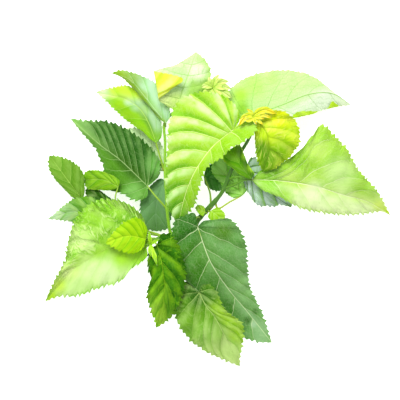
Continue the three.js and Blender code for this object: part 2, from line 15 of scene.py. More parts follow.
import bmesh
import bpy
import numpy as np
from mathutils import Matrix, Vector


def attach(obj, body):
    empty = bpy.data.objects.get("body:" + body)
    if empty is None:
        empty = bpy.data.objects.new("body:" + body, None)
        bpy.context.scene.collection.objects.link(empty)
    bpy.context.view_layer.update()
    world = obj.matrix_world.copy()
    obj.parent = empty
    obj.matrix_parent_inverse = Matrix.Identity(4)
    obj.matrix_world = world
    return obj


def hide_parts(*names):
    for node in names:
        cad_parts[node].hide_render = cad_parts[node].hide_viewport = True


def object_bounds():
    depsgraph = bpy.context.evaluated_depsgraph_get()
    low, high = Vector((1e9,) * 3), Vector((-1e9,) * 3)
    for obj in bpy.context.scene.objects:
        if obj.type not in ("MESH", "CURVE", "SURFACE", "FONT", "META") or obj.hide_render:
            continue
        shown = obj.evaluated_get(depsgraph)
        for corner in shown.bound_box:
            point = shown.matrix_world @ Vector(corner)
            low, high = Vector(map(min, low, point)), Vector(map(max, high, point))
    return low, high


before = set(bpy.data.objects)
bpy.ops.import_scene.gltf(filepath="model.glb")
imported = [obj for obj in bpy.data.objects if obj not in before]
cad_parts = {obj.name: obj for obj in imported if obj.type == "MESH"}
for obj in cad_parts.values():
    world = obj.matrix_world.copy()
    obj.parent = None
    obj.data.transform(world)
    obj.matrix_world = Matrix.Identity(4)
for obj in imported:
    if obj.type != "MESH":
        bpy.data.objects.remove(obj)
cad_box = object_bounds()
MM = 0.001
print(len(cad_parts), "CAD nodes, box", [round(v, 4) for corner in cad_box for v in corner])

# %% [markdown]
# ## The camera and the light
# The sprig lies on a pale surface and is looked at from straight above. A short lens would make
# the nearest leaves look too large, so a long one is used from further off. The light is
# high-key: a bright room all round, and one large soft lamp beyond the upper leaves, which
# shades one side of each furrow.

# %% Camera
VIEW_WIDTH = 0.4
VIEW_MIDDLE = (-0.018, 0.010)
LENS = 300.0
SENSOR = 36.0
VIEW_HEIGHT = 0.045  # the level at which the view is VIEW_WIDTH wide
FAR_AWAY = 20.0

camera = bpy.data.objects.new("camera", bpy.data.cameras.new("camera"))
camera.data.lens = LENS
camera.data.sensor_width = SENSOR
camera.location = (*VIEW_MIDDLE, VIEW_HEIGHT + VIEW_WIDTH * LENS / SENSOR)
camera.data.clip_end = FAR_AWAY
bpy.context.collection.objects.link(camera)
bpy.context.scene.camera = camera
bpy.context.scene.view_settings.view_transform = "Standard"
print("camera", round(camera.location.z, 2), "m above the surface")

# %% Lamp and room
LAMP_PLACE = (-0.3, 0.8, 1.4)
LAMP_SIZE = 0.6
LAMP_WATTS = 30.0
ROOM_STRENGTH = 0.84

lamp = bpy.data.objects.new("lamp", bpy.data.lights.new("lamp", "AREA"))
lamp.data.energy = LAMP_WATTS
lamp.data.size = LAMP_SIZE
lamp.location = LAMP_PLACE
away = lamp.location - (cad_box[0] + cad_box[1]) / 2
lamp.rotation_euler = away.to_track_quat("Z", "Y").to_euler()
bpy.context.collection.objects.link(lamp)

room = bpy.data.worlds.new("room")
room.use_nodes = True
room.node_tree.nodes["Background"].inputs["Color"].default_value = (1.0, 1.0, 1.0, 1.0)
room.node_tree.nodes["Background"].inputs["Strength"].default_value = ROOM_STRENGTH
bpy.context.scene.world = room
print("lamp", LAMP_WATTS, "W, room", ROOM_STRENGTH)

# %% [markdown]
# ## Writing materials as sums
# A leaf's finish is mostly arithmetic on a few measures: how far a point is from a vein, how far
# along the blade it lies. Written as nodes one at a time that is hard to read. So a small class
# wraps a socket and lets Python add and multiply it, and each expression adds its Math nodes.

# %% Shader maths
class Value:
    """A shader socket that can be added, multiplied and so on."""

    def __init__(self, finish, socket):
        self.finish = finish
        self.socket = socket

    def maths(self, operation, *values):
        return self.finish.node("ShaderNodeMath", {"operation": operation}, dict(enumerate(values)))

    def __add__(self, other):
        return self.maths("ADD", self, other)

    def __sub__(self, other):
        return self.maths("SUBTRACT", self, other)

    def __rsub__(self, other):
        return self.maths("SUBTRACT", other, self)

    def __mul__(self, other):
        return self.maths("MULTIPLY", self, other)

    def __truediv__(self, other):
        return self.maths("DIVIDE", self, other)

    def __rtruediv__(self, other):
        return self.maths("DIVIDE", other, self)

    __radd__ = __add__
    __rmul__ = __mul__

    def __abs__(self):
        return self.maths("ABSOLUTE", self)

    def fraction(self):
        return self.maths("FRACT", self)

    def sine(self):
        return self.maths("SINE", self)

    def largest(self, other):
        return self.maths("MAXIMUM", self, other)

    def rising(self, low, high):
        """0 below low, 1 above high, and a smooth step between them. low may be the larger."""
        values = {"Value": self, "From Min": low, "From Max": high}
        return self.finish.node("ShaderNodeMapRange", {"interpolation_type": "SMOOTHSTEP"}, values)

    def parts(self):
        """The three numbers of a vector."""
        split = self.finish.node("ShaderNodeSeparateXYZ", {}, {"Vector": self}, None)
        return [Value(self.finish, split.outputs[axis]) for axis in "XYZ"]


print("sockets can be added, subtracted, multiplied and divided")

# %% Finishes
class Finish:
    """A material under construction."""

    def __init__(self, name):
        self.material = bpy.data.materials.new(name)
        self.material.use_nodes = True
        self.tree = self.material.node_tree
        self.shader = self.tree.nodes["Principled BSDF"]

    def node(self, kind, settings, values, output=0):
        """Adds a node: its settings, then its sockets' values or links. Gives one output."""
        made = self.tree.nodes.new(kind)
        for name, setting in settings.items():
            setattr(made, name, setting)
        for name, value in values.items():
            self.feed(made.inputs[name], value)
        return made if output is None else Value(self, made.outputs[output])

    def feed(self, socket, value):
        if isinstance(value, Value):
            self.tree.links.new(value.socket, socket)
        else:
            socket.default_value = value

    def attribute(self, name, output):
        """A measure or a colour that the mesh carries."""
        return self.node("ShaderNodeAttribute", {"attribute_name": name}, {}, output)

    def place(self):
        """Object coordinates, in millimetres."""
        spot = self.node("ShaderNodeTexCoord", {}, {}, "Object")
        return self.node("ShaderNodeVectorMath", {"operation": "SCALE"}, {0: spot, "Scale": 1 / MM})

    def noise(self, place, size, detail=3.0):
        """Soft noise from 0 to 1 with patches of about this size in millimetres."""
        values = {"Vector": place, "Scale": 1 / size, "Detail": detail}
        return self.node("ShaderNodeTexNoise", {}, values, "Fac")

    def cells(self, place, size, feature):
        """Distance from the borders or the middles of cells of about this size."""
        values = {"Vector": place, "Scale": 1 / size}
        return self.node("ShaderNodeTexVoronoi", {"feature": feature}, values, "Distance")

    def vector(self, *values):
        return self.node("ShaderNodeCombineXYZ", {}, dict(enumerate(values)))

    def mix(self, share, first, second, blend="MIX"):
        """Colours: the first where share is 0, the second where it is 1."""
        settings = {"data_type": "RGBA", "blend_type": blend, "clamp_factor": True}
        return self.node("ShaderNodeMix", settings, {0: share, 6: first, 7: second}, 2)

    def bump(self, height, strength):
        """Turns a height in millimetres into a normal for the shader."""
        values = {"Height": height, "Strength": strength, "Distance": MM}
        self.feed(self.shader.inputs["Normal"], self.node("ShaderNodeBump", {}, values))

    def done(self, colour, roughness, others=None):
        """Feeds the shader's sockets, the others by their names."""
        for name, value in {"Base Color": colour, "Roughness": roughness, **(others or {})}.items():
            self.feed(self.shader.inputs[name], value)
        print("finish", self.material.name, len(self.tree.nodes), "nodes")
        return self.material


print("finishes can be built")

# %% [markdown]
# ## Greens in this light
# A bright room makes a green that is typed in come out paler than it was meant. The light is
# the same everywhere, so that can be undone: a colour is given as it should look, and turned into
# the one that looks so once it is lit. Trying each green by eye would do, but there are many.

# %% Colours as they should look
LIGHT_GAIN = 1.37  # how much brighter than its own colour a lit white surface comes out
GLOSS = 0.013  # what the light's reflection adds to it, whatever its colour
DARKEST = 0.001


def linear(part):
    """A screen's colour value, 0 to 255, as a share of the light."""
    return ((part / 255 + 0.055) / 1.055) ** 2.4 if part > 10 else part / 3294.6


def shade(red, green, blue):
    """A colour as it should look in the light, 0 to 255, as the surface's own linear colour."""
    return (*(max(linear(part) - GLOSS, DARKEST) / LIGHT_GAIN for part in (red, green, blue)), 1.0)


def green(colour):
    return np.array(shade(*colour))


print("a leaf that should look mid green is", [round(v, 3) for v in shade(120, 180, 60)])

# %% [markdown]
# ## Smooth lines
# Every stalk, rib and outline is a smooth line through a few points. A Bezier curve object
# could draw it, but the leaf surface needs to ask a line where it is at any share of its
# length, so the line is worked out here. The centripetal kind is used, because it makes no
# loops where points lie close together.

# %% A line through points
STRETCH_SAMPLES = 40
LOOK_AHEAD = 0.005  # share of a line over which its direction is measured


def stretch(before, start, end, after, share):
    """One stretch of a centripetal Catmull-Rom line, from start to end."""
    gaps = [np.linalg.norm(b - a) ** 0.5 for a, b in ((before, start), (start, end), (end, after))]
    first = (start - before) / gaps[0] - (end - before) / (gaps[0] + gaps[1])
    last = (after - end) / gaps[2] - (after - start) / (gaps[1] + gaps[2])
    chord = (end - start) / gaps[1]
    leave, arrive = (first + chord) * gaps[1], (last + chord) * gaps[1]
    square, cube = share**2, share**3
    return ((2 * cube - 3 * square + 1) * start + (cube - 2 * square + share) * leave
            + (3 * square - 2 * cube) * end + (cube - square) * arrive)


class Line:
    """A smooth line through points, read by the share of its length."""

    def __init__(self, points):
        knots = np.array(points, float)
        knots = np.vstack([2 * knots[0] - knots[1], knots, 2 * knots[-1] - knots[-2]])
        share = np.linspace(0, 1, STRETCH_SAMPLES, endpoint=False)[:, None]
        pieces = [stretch(*knots[i:i + 4], share) for i in range(len(knots) - 3)]
        self.points = np.vstack([*pieces, knots[-2]])
        steps = np.linalg.norm(np.diff(self.points, axis=0), axis=1)
        run = np.concatenate([[0], np.cumsum(steps)])
        self.length = run[-1]
        self.share = run / self.length

    def at(self, share):
        return np.stack([np.interp(share, self.share, axis) for axis in self.points.T], axis=-1)

    def forward(self, share):
        ahead, behind = np.minimum(share + LOOK_AHEAD, 1), np.maximum(share - LOOK_AHEAD, 0)
        return unit(self.at(ahead) - self.at(behind))


def unit(vectors):
    return vectors / np.maximum(np.linalg.norm(vectors, axis=-1, keepdims=True), 1e-9)


def smooth(low, high, values):
    """0 below low, 1 above high, and a smooth step between them."""
    share = np.clip((values - low) / (high - low), 0, 1)
    return share * share * (3 - 2 * share)


print("a bow over 100 mm is", round(Line([(0, 0, 0), (50, 0, 20), (100, 0, 0)]).length, 1), "mm long")

# %% [markdown]
# ## One surface for every blade
# A blade hangs between its midrib and its outline. Rows run from the midrib to the outline, as
# the side veins do, and the lowest rows fan out from the stalk, as they do in a mulberry. Along
# a row the blade is crowned, and from row to row it rises between the veins, so the veins lie in
# furrows. Finer still, the blade puckers between the cross veins, and its margin waves.
# Each of these is a term of one formula, so all leaves share it and only their measures differ.
# Sculpting by hand would give the same look once, but not on 25 leaves that have to keep to
# the CAD solids. All measures are in millimetres, or shares of a length.

# %% Measures of a blade
SIZES = {  # intervals between veins, height and spacing of teeth, spacing of rows, columns, ribs
    "large": {"veins": 7, "tooth": 3.2, "pitch": 5.6, "row": 0.9, "columns": 18, "rib_scale": 1.0},
    "medium": {"veins": 6, "tooth": 2.3, "pitch": 4.6, "row": 0.9, "columns": 14, "rib_scale": 0.75},
    "small": {"veins": 5, "tooth": 1.6, "pitch": 3.4, "row": 0.7, "columns": 9, "rib_scale": 0.5},
    "leaflet": {"veins": 5, "tooth": 0.7, "pitch": 2.2, "row": 0.5, "columns": 6, "rib_scale": 0.5},
    "bud": {"veins": 4, "tooth": 0.0, "pitch": 2.0, "row": 0.6, "columns": 5},
}
STALK, THICK_STALK, THIN_STALK = 1.0, 1.4, 0.7  # radii
PLAIN = {  # what a leaf is unless it says otherwise
    "turned": False, "fold": None, "curls": [], "crumple": 0.5, "stalk": STALK, "fan": 2,
    "ribbing": 0.5, "ribbing_side": 0, "crinkle": 0.15, "crinkle_side": 0, "spots": [],
    "vein": (190, 230, 110), "vein_share": 0.7, "crest": (225, 254, 165), "crest_share": 0.45,
    "stalk_green": (150, 190, 45),
}
SIDES = (("left", -1), ("right", 1))


def prepare(leaf):
    """Adds a leaf's lines, its side veins and its own random phases to its measures."""
    leaf = {**PLAIN, **SIZES[leaf["size"]], **leaf}
    chance = random.Random(leaf["name"])
    leaf["phases"] = [chance.uniform(0, 2 * math.pi) for _ in range(8)]
    leaf["rib_line"] = Line(leaf["rib"])
    for side, _ in SIDES:
        leaf[side + "_line"] = Line([leaf["rib"][0], *leaf[side], leaf["rib"][-1]])
        leaf[side + "_stops"] = vein_stops(leaf, side)
    return leaf


print("a large leaf has", SIZES["large"]["veins"], "intervals between side veins on each side")

# %% Rows and side veins
VEIN_LEAN = (0.04, 0.15)  # how far up the outline a side vein ends from where its row would
VEIN_ARCH = 0.95  # below 1 a side vein climbs faster near the midrib than near the margin


def share_near(line, point):
    """The share of a line's length where it passes a point, seen from above."""
    gaps = np.linalg.norm(line.points[:, :2] - np.array(point), axis=1)
    return line.share[gaps.argmin()]


def fan_share(leaf):
    """How much of the outline belongs to the rows that start at the blade's base."""
    return leaf["fan"] / leaf["veins"]


def vein_stops(leaf, side):
    """The rows on which each side vein leaves the midrib and meets the outline."""
    fan = fan_share(leaf)
    drawn = leaf.get(side + "_veins")
    if drawn:
        rib, margin = leaf["rib_line"], leaf[side + "_line"]
        starts = np.array([fan + (1 - fan) * share_near(rib, vein[:2]) for vein in drawn])
        ends = np.array([share_near(margin, vein[2:]) for vein in drawn])
    else:
        ends = np.arange(1, leaf["veins"]) / leaf["veins"]
        starts = np.maximum(ends - VEIN_LEAN[0] - VEIN_LEAN[1] * (1 - ends), fan)
    return np.minimum(starts, ends), ends


def vein_count(leaf, along, across):
    """How many side veins lie below a place: 1 on the first vein, 1.5 halfway to the second."""
    arch = np.abs(across) ** VEIN_ARCH
    counts = []
    for side, _ in SIDES:
        veins = [start + (end - start) * arch for start, end in zip(*leaf[side + "_stops"])]
        rows = [np.zeros_like(arch), *veins, np.ones_like(arch)]
        gaps = [(along - low) / np.maximum(high - low, 1e-3) for low, high in zip(rows, rows[1:])]
        counts.append(sum(np.clip(gap, 0, 1) for gap in gaps))
    return np.where(across < 0, *counts)


print("a side vein ends up to", sum(VEIN_LEAN), "further up the outline than its row")

# %% Teeth, swells and curls
TOOTH_POINT = 0.78  # where on its base a tooth's point stands, so that it leans to the tip
TOOTH_SIZES = (0.85, 0.55)  # the middle size of a tooth and how much it varies
TOOTH_SINK = 0.45  # how far the notches cut in, as a share of a tooth
FAINT_SIDE = 0.15  # what is left of a relief on the side that has less of it


def teeth(leaf, along, across):
    """How far the margin stands out at a share of its length. The teeth point to the tip."""
    left = across < 0
    length = np.where(left, leaf["left_line"].length, leaf["right_line"].length)
    run = along * length / leaf["pitch"] + np.where(left, leaf["phases"][0], leaf["phases"][1])
    share, number = run % 1.0, np.floor(run)
    size = TOOTH_SIZES[0] + TOOTH_SIZES[1] * np.sin(number * 2.4 + leaf["phases"][2])
    back, front = (share / TOOTH_POINT) ** 1.4, (1 - share) / (1 - TOOTH_POINT)
    grown = smooth(0.05, 0.16, along) * smooth(1.0, 0.93, along)
    return leaf["tooth"] * size * (np.where(share < TOOTH_POINT, back, front) - TOOTH_SINK) * grown


def sided(leaf, key, across):
    """A relief that some blades have mainly on one side, -1 for the left and 1 for the right."""
    side = leaf[key + "_side"]
    if side == 0:
        return leaf[key] * np.ones_like(across)
    return leaf[key] * (FAINT_SIDE + (1 - FAINT_SIDE) * smooth(-0.1, 0.35, side * across))


def swell(leaf, points):
    """Broad uneven swells from -1 to 1, a sum of three waves that cross."""
    x, y = points[..., 0], points[..., 1]
    turn = leaf["phases"]
    waves = (np.sin(x / 4.1 + 1.4 * np.sin(y / 6.7 + turn[3]) + turn[4])
             + np.sin((x + 2 * y) / 6.3 + turn[5]) + np.sin((y - x) / 3.7 + turn[6]))
    return waves / 3


def curl_width(leaf, along, across):
    """How much more blade there is past the outline, where the margin is curled over."""
    extra = np.zeros_like(along)
    for side, middle, half, width in leaf["curls"]:
        near = np.exp(-(((along - middle) / half) ** 2) * 2)
        near = np.where(np.abs(along - middle) < half, near, 0)
        extra = extra + np.where((across < 0) == (side == "left"), width * near, 0)
    return extra


def turn_over(points, beyond, outward, up, radius, turn):
    """Bends what lies beyond a line round an arc, and on straight."""
    flat = np.maximum(beyond, 0)
    angle = np.minimum(flat / radius, turn)
    rest = flat - angle * radius
    out = radius * np.sin(angle) + rest * np.cos(angle) - flat
    rise = radius * (1 - np.cos(angle)) + rest * np.sin(angle)
    return points + outward * out[..., None] + up * rise[..., None]


print("a large leaf's teeth are", SIZES["large"]["pitch"], "mm apart")

# %% The frame of a blade
LEVELLING = 0.4  # how far a row's own tilt gives way to the tilt of the whole blade there


def rib_share(leaf, along):
    """How far up the midrib a row starts. The rows of the fan all start at its base."""
    fan = fan_share(leaf)
    return np.maximum(0, (along - fan) / (1 - fan))


def blade_normal(leaf, along):
    """The way up from the whole blade, across both halves."""
    level = np.clip(along, 0.1, 0.95)
    width = leaf["right_line"].at(level) - leaf["left_line"].at(level)
    return unit(np.cross(width, leaf["rib_line"].forward(rib_share(leaf, level))))


def row_frame(leaf, along, across):
    """A row's foot on the midrib, its length, and the ways outward, forward and up from it."""
    foot = leaf["rib_line"].at(rib_share(leaf, along))
    left = across[..., None] < 0
    edge = np.where(left, leaf["left_line"].at(along), leaf["right_line"].at(along))
    forward = np.where(left, leaf["left_line"].forward(along), leaf["right_line"].forward(along))
    outward = unit(edge - foot)
    up = np.cross(outward, forward) * np.where(across < 0, -1.0, 1.0)[..., None]
    up = unit(up + LEVELLING * blade_normal(leaf, along))
    return foot, np.linalg.norm(edge - foot, axis=-1), outward, forward, up


print("rows give way to the blade's tilt by", LEVELLING)

# %% The blade
CAMBER = 0.06  # crown of each half blade, as a share of a row's length
SWEEP = 0.05  # how far a row's middle lags behind, as a share of its length
FULL_ROW = 25.0  # a row this long or longer has its full pleats
PLEAT_LEAST, PLEAT_MORE = 0.12, 0.75  # height of the pleats without ribbing, and what it adds
LADDER = 6.0  # distance between cross veins
LADDER_SHIFT, LADDER_SLANT = 0.618, 0.2  # from one interval to the next, and across an interval
PUCKER = 0.4
WAVE, WAVE_LENGTH = 1.0, 17.0  # of the margin
RIB_SINK, RIB_SINK_WIDTH = 0.2, 1.2  # the groove over the midrib
MARGIN = 0.72  # the share of a row past which the teeth draw it out
MOST_TOOTH = 0.2  # of a row's length
PRESSED_HEIGHT = 6.0  # below this a blade that lies on the surface loses its relief
LOWEST = 0.25  # height of a blade's middle sheet over the surface
CURL_LEAD, CURL_RADIUS, CURL_TURN = 1.0, 0.7, 2.8
UPRIGHT = np.array([0.0, 0.0, 1.0])


def relief(leaf, along, across, count, distance, length, flat):
    """How high the blade stands over its flat rows: crown, pleats, puckers, waves and swells."""
    share = np.abs(across)
    taper = np.minimum(1, length / FULL_ROW)
    furrow = np.abs(np.sin(math.pi * count)) ** 0.9
    body = 2.1 * share**0.6 * (1 - 0.7 * share)
    ribbing = PLEAT_LEAST + PLEAT_MORE * sided(leaf, "ribbing", across)
    crinkle = sided(leaf, "crinkle", across)
    rung = distance / LADDER + np.floor(count) * LADDER_SHIFT + count * LADDER_SLANT
    pucker = PUCKER * (0.4 + crinkle) * np.abs(np.cos(math.pi * rung)) * furrow
    run = along * leaf["left_line"].length
    wave = WAVE * share**3 * np.sin(2 * math.pi * run / WAVE_LENGTH + leaf["phases"][7]) * taper
    crown = 4 * share * (1 - share)
    swells = (leaf["crumple"] + crinkle) * swell(leaf, flat) * taper * smooth(0, 0.25, share)
    height = (CAMBER * length * crown + leaf["pleat"] * ribbing * taper * furrow * body + pucker
              + wave + swells)
    sink = RIB_SINK * np.exp(-((distance / RIB_SINK_WIDTH) ** 2)) * (-1 if leaf["turned"] else 1)
    return np.clip(flat[..., 2] / PRESSED_HEIGHT - 0.1, 0, 1) * (height - sink)


def blade(leaf, along, across):
    """Points of a blade's middle sheet, the way up, the count of veins, and the way to the rib.

    along is the share of the outline from base to tip. across is -1 on the left of it, 0 on
    the midrib and 1 on the right.
    """
    foot, length, outward, forward, up = row_frame(leaf, along, across)
    share = np.abs(across)
    extra = curl_width(leaf, along, across)
    reach = teeth(leaf, along, across) * smooth(MARGIN, 1.0, share)
    reach = np.clip(reach, -MOST_TOOTH * length, MOST_TOOTH * length)
    distance = share * (length + extra) + reach
    count = vein_count(leaf, along, across)
    flat = foot + outward * distance[..., None]
    height = relief(leaf, along, across, count, distance, length, flat)
    lag = SWEEP * length * (4 * share * (1 - share))
    points = flat - forward * lag[..., None] + up * height[..., None]

    if leaf["fold"]:
        start, end, radius, turn = leaf["fold"]
        start, end = np.array([*start, 0.0]), np.array([*end, 0.0])
        aside = unit(np.cross(UPRIGHT, end - start))
        points = turn_over(points, (points - start) @ aside, aside, UPRIGHT, radius, turn)
    if leaf["curls"]:
        beyond = distance - length + CURL_LEAD
        curled = turn_over(points, beyond, outward, up, CURL_RADIUS, CURL_TURN)
        points = np.where(extra[..., None] > 0.3, curled, points)
    points[..., 2] = np.maximum(points[..., 2], LOWEST)
    return points, up, count, distance


print("a blade's crown is", CAMBER, "of its rows, its cross veins are", LADDER, "mm apart")

# %% [markdown]
# ## From surface to mesh
# A blade starts as a flat grid. Its width becomes the way across the leaf and its length the way
# along, and each vertex is moved to its place on the surface. Where the rows meet at the base and
# at the tip, their doubled vertices are merged. A Solidify modifier then gives the sheet its
# thickness, with a second material on the underside, and the result is kept as a mesh, so that
# stalk and ribs can be added to it.
#
# The same grid, rolled up round a line, makes stalks, ribs and shoots. A bevelled curve could do
# that too, with a radius at each point, but it would have to be made a mesh before it could join
# a blade, and it has no place for the measures that the finish reads.

# %% Grids and objects
OUTLINE_MIDDLE = np.array([0.0, -0.15, 0.0])  # where the drawn lines have the frame's origin
GRID_SIZE = 1.0
MERGE_DISTANCE = 4e-6
SHARP_ANGLE = 1.0
LAYERS = ("leafwise", "spread")
TONE_LAYERS = ("tone", "undertone", "veintone", "crest")


def placed(points):
    """Millimetres as the lines are drawn, to metres in the object's frame."""
    return (points - OUTLINE_MIDDLE) * MM


def layers_of(mesh):
    """The measures that the finishes read, by name."""
    vectors, colours = mesh.verts.layers.float_vector, mesh.verts.layers.float_color
    kinds = {**dict.fromkeys(LAYERS, vectors), **dict.fromkeys(TONE_LAYERS, colours)}
    return {name: kind.get(name) or kind.new(name) for name, kind in kinds.items()}


def grid(mesh, columns, rows):
    """A flat grid in the mesh. Gives its vertices, and their places from 0 to 1 each way."""
    made = bmesh.ops.create_grid(mesh, x_segments=columns, y_segments=rows, size=GRID_SIZE)["verts"]
    flat = np.array([vertex.co[:2] for vertex in made])
    return made, (flat / GRID_SIZE + 1) / 2


def move(vertices, points):
    for vertex, point in zip(vertices, points):
        vertex.co = point


def write(vertices, layer, values):
    for vertex, value in zip(vertices, values):
        vertex[layer] = value


def soften(mesh):
    """Keeps the thin rim of a blade crisp between its two smooth faces."""
    for edge in mesh.edges:
        if len(edge.link_faces) == 2 and edge.calc_face_angle(0) > SHARP_ANGLE:
            edge.smooth = False


def keep(mesh, name, materials):
    """Turns a bmesh into an object in the scene."""
    data = bpy.data.meshes.new(name)
    mesh.to_mesh(data)
    mesh.free()
    for material in materials:
        data.materials.append(material)
    thing = bpy.data.objects.new(name, data)
    bpy.context.collection.objects.link(thing)
    return thing


print(len(LAYERS), "measures and", len(TONE_LAYERS), "colours at each vertex")

# %% Rods
LEAST_HEIGHT = 0.02  # of a rod over the surface


def steady_axis(forward):
    """An axis that no part of the line runs along."""
    upright = np.abs(forward[:, 2]).mean() > 0.8
    return np.array([1.0, 0.0, 0.0]) if upright else UPRIGHT


def add_rod(mesh, points, radii, sides, material, tone):
    """Rolls a grid up round a line of points in millimetres, closed to a point at both ends."""
    points, radii = np.array(points, float), np.array(radii, float)
    points = np.vstack([points[0], points, points[-1]])
    radii = np.concatenate([[0], radii, [0]])
    layers = layers_of(mesh)
    made, place = grid(mesh, sides, len(points) - 1)
    ring = np.rint(place[:, 1] * (len(points) - 1)).astype(int)
    angle = 2 * math.pi * place[:, 0]
    forward = unit(np.gradient(points[1:-1], axis=0))
    forward = np.vstack([forward[0], forward, forward[-1]])
    aside = unit(np.cross(forward, steady_axis(forward)))
    above = np.cross(aside, forward)
    turned = aside[ring] * np.cos(angle)[:, None] + above[ring] * np.sin(angle)[:, None]
    where = points[ring] + turned * radii[ring][:, None]
    where[:, 2] = np.maximum(where[:, 2], LEAST_HEIGHT)
    run = np.concatenate([[0], np.cumsum(np.linalg.norm(np.diff(points, axis=0), axis=1))])
    move(made, placed(where))
    write(made, layers["leafwise"], np.stack([angle, run[ring], radii[ring]], axis=1))
    write(made, layers["tone"], [tone] * len(made))
    bmesh.ops.remove_doubles(mesh, verts=made, dist=MERGE_DISTANCE)
    faces = list({face for vertex in made if vertex.is_valid for face in vertex.link_faces})
    bmesh.ops.recalc_face_normals(mesh, faces=faces)
    for face in faces:
        face.material_index = material
        face.smooth = True


print("a rod keeps", LEAST_HEIGHT, "mm over the surface")

# %% [markdown]
# ## The finish of a blade
# A mulberry leaf has two faces. The upper one is green and a little glossy, with its veins sunk
# in it as light lines. The underside is paler and dull, with its veins standing out. Both faces
# read the same measures, which the mesh carries at each vertex: how far a point is from the
# midrib, and how far between two side veins. From them come the veins at their real width, the
# cross veins between them, a fine net, and the creases of a crumpled blade, which run along the
# side veins. The upper face also gets painted light from them: a painted highlight on the lit side
# of each swell and on the crumples, and painted shade on the other side and in the creases. A
# painted picture could hold all this, but it would blur close up, and each leaf would need its own.
#
# The colour itself also comes from the mesh, because every leaf has its own mix: new leaves are
# yellow-green, old ones dark, and each changes from its base to its tip. Part of the mix is
# painted sheen and painted shade as well.

# %% Vein masks
SIDE_VEIN_WIDTH = 0.6  # half widths at the midrib, in millimetres
MIDRIB_WIDTH = 1.0
CROSS_VEIN_WIDTH = 0.34
NET_SIZE = 2.3
WANDER_SIZE = 7.0


def blade_point(finish):
    """What the finish knows of a point: the mesh's measures, its place, and a slow wander."""
    across, count, along = finish.attribute("leafwise", "Vector").parts()
    distance, gap, _ = finish.attribute("spread", "Vector").parts()
    place = finish.place()
    wander = finish.noise(place, WANDER_SIZE, 1.0) - 0.5
    return SimpleNamespace(across=across, count=count, along=along, distance=distance, gap=gap,
                           place=place, wander=wander, swayed=count + wander * 0.12)


def vein_masks(finish, at):
    """Where the main veins, the cross veins and the net are, each from 0 to 1."""
    nearest = abs((at.swayed + 0.5).fraction() - 0.5) * at.gap
    width = SIDE_VEIN_WIDTH * (1 - abs(at.across) * 0.7)
    side = nearest.rising(width, width * 0.25) * at.count.rising(0.35, 0.6)
    midrib_width = MIDRIB_WIDTH * (1 - at.along * 0.75)
    midrib = at.distance.rising(midrib_width, midrib_width * 0.4)
    interval = at.count - at.count.fraction()
    slant = interval * LADDER_SHIFT + at.count * LADDER_SLANT + at.wander * 1.6
    rung = (at.distance / LADDER + slant).fraction()
    cross = (abs(rung - 0.5) * LADDER).rising(CROSS_VEIN_WIDTH, 0.08)
    net = finish.cells(at.place, NET_SIZE, "DISTANCE_TO_EDGE").rising(0.13, 0.02)
    return (side * 0.85).largest(midrib), cross * at.distance.rising(1.5, 3.5), net


def pleat_masks(finish, at):
    """Lit and shaded sides of each pleat, ripples, and painted crease shade and crumple highlight."""
    panel = at.swayed.fraction()
    lit = panel.rising(0.02, 0.1) * panel.rising(0.6, 0.25)
    shaded = (panel.rising(0.4, 0.85) * 0.6 + panel.rising(0.7, 0.9) * 0.6) * panel.rising(1.0, 0.96)
    weave = finish.vector(at.distance / 7.0 + at.wander * 1.4, at.count * at.gap / 2.6,
                          at.place.parts()[2] * 0.1)
    ripple = finish.noise(weave, 1.0, 3.0)
    patchy = finish.noise(at.place, 16.0, 1.0).rising(0.42, 0.58)
    # painted shade along the creases of the ripples
    crease_shade = abs(ripple - 0.45).rising(0.045, 0.0) * patchy
    return lit, shaded, ripple, crease_shade, ripple.rising(0.5, 0.64) * (0.4 + patchy * 0.6)


print("side veins are", 2 * SIDE_VEIN_WIDTH, "mm wide at the midrib")

# %% The two faces of a blade
SHEEN = {"Specular IOR Level": 0.06}
FURROW_SHADE = (0.5, 0.76, 0.22, 1)
UNDER_SHADE = (0.78, 0.9, 0.72, 1)


def blade_top(name, roughness):
    """The upper face: light veins in furrows, painted highlight and shade on the swells, a low gloss.
    """
    finish = Finish(name)
    at = blade_point(finish)
    main, cross, net = vein_masks(finish, at)
    lit, shaded, ripple, crease_shade, crumple = pleat_masks(finish, at)
    patches = finish.noise(at.place, 12.0)
    tone, crinkle = (finish.attribute("tone", output) for output in ("Color", "Alpha"))
    crest, ribbing = (finish.attribute("crest", output) for output in ("Color", "Alpha"))
    vein, vein_share = (finish.attribute("veintone", output) for output in ("Color", "Alpha"))
    # painted highlight: the lit side of each pleat, and the crumples, go towards the highlight green
    pale = lit * ribbing * patches.rising(0.8, 0.35)
    tone = finish.mix(pale.largest(crumple * crinkle * 0.8), tone, crest)
    # painted shade on the shaded side of each pleat and in the creases, with random darker patches
    deep = patches.rising(0.5, 0.75) * 0.2 + shaded * (ribbing * 0.7 + 0.12)
    tone = finish.mix(deep + crease_shade * crinkle * 0.8, tone, FURROW_SHADE, "MULTIPLY")
    tone = finish.mix(net * vein_share * 0.09, tone, vein)
    tone = finish.mix(cross * vein_share * 0.14, tone, vein)
    tone = finish.mix(main * vein_share, tone, vein)
    grain = finish.noise(at.place, 0.6, 2.0)
    height = grain * 0.02 - main * 0.1 - cross * 0.05 - net * 0.02
    finish.bump(height + ripple * crinkle * 1.6, 0.9)
    return finish.done(tone, roughness + patches * 0.14 + main * 0.12, SHEEN)


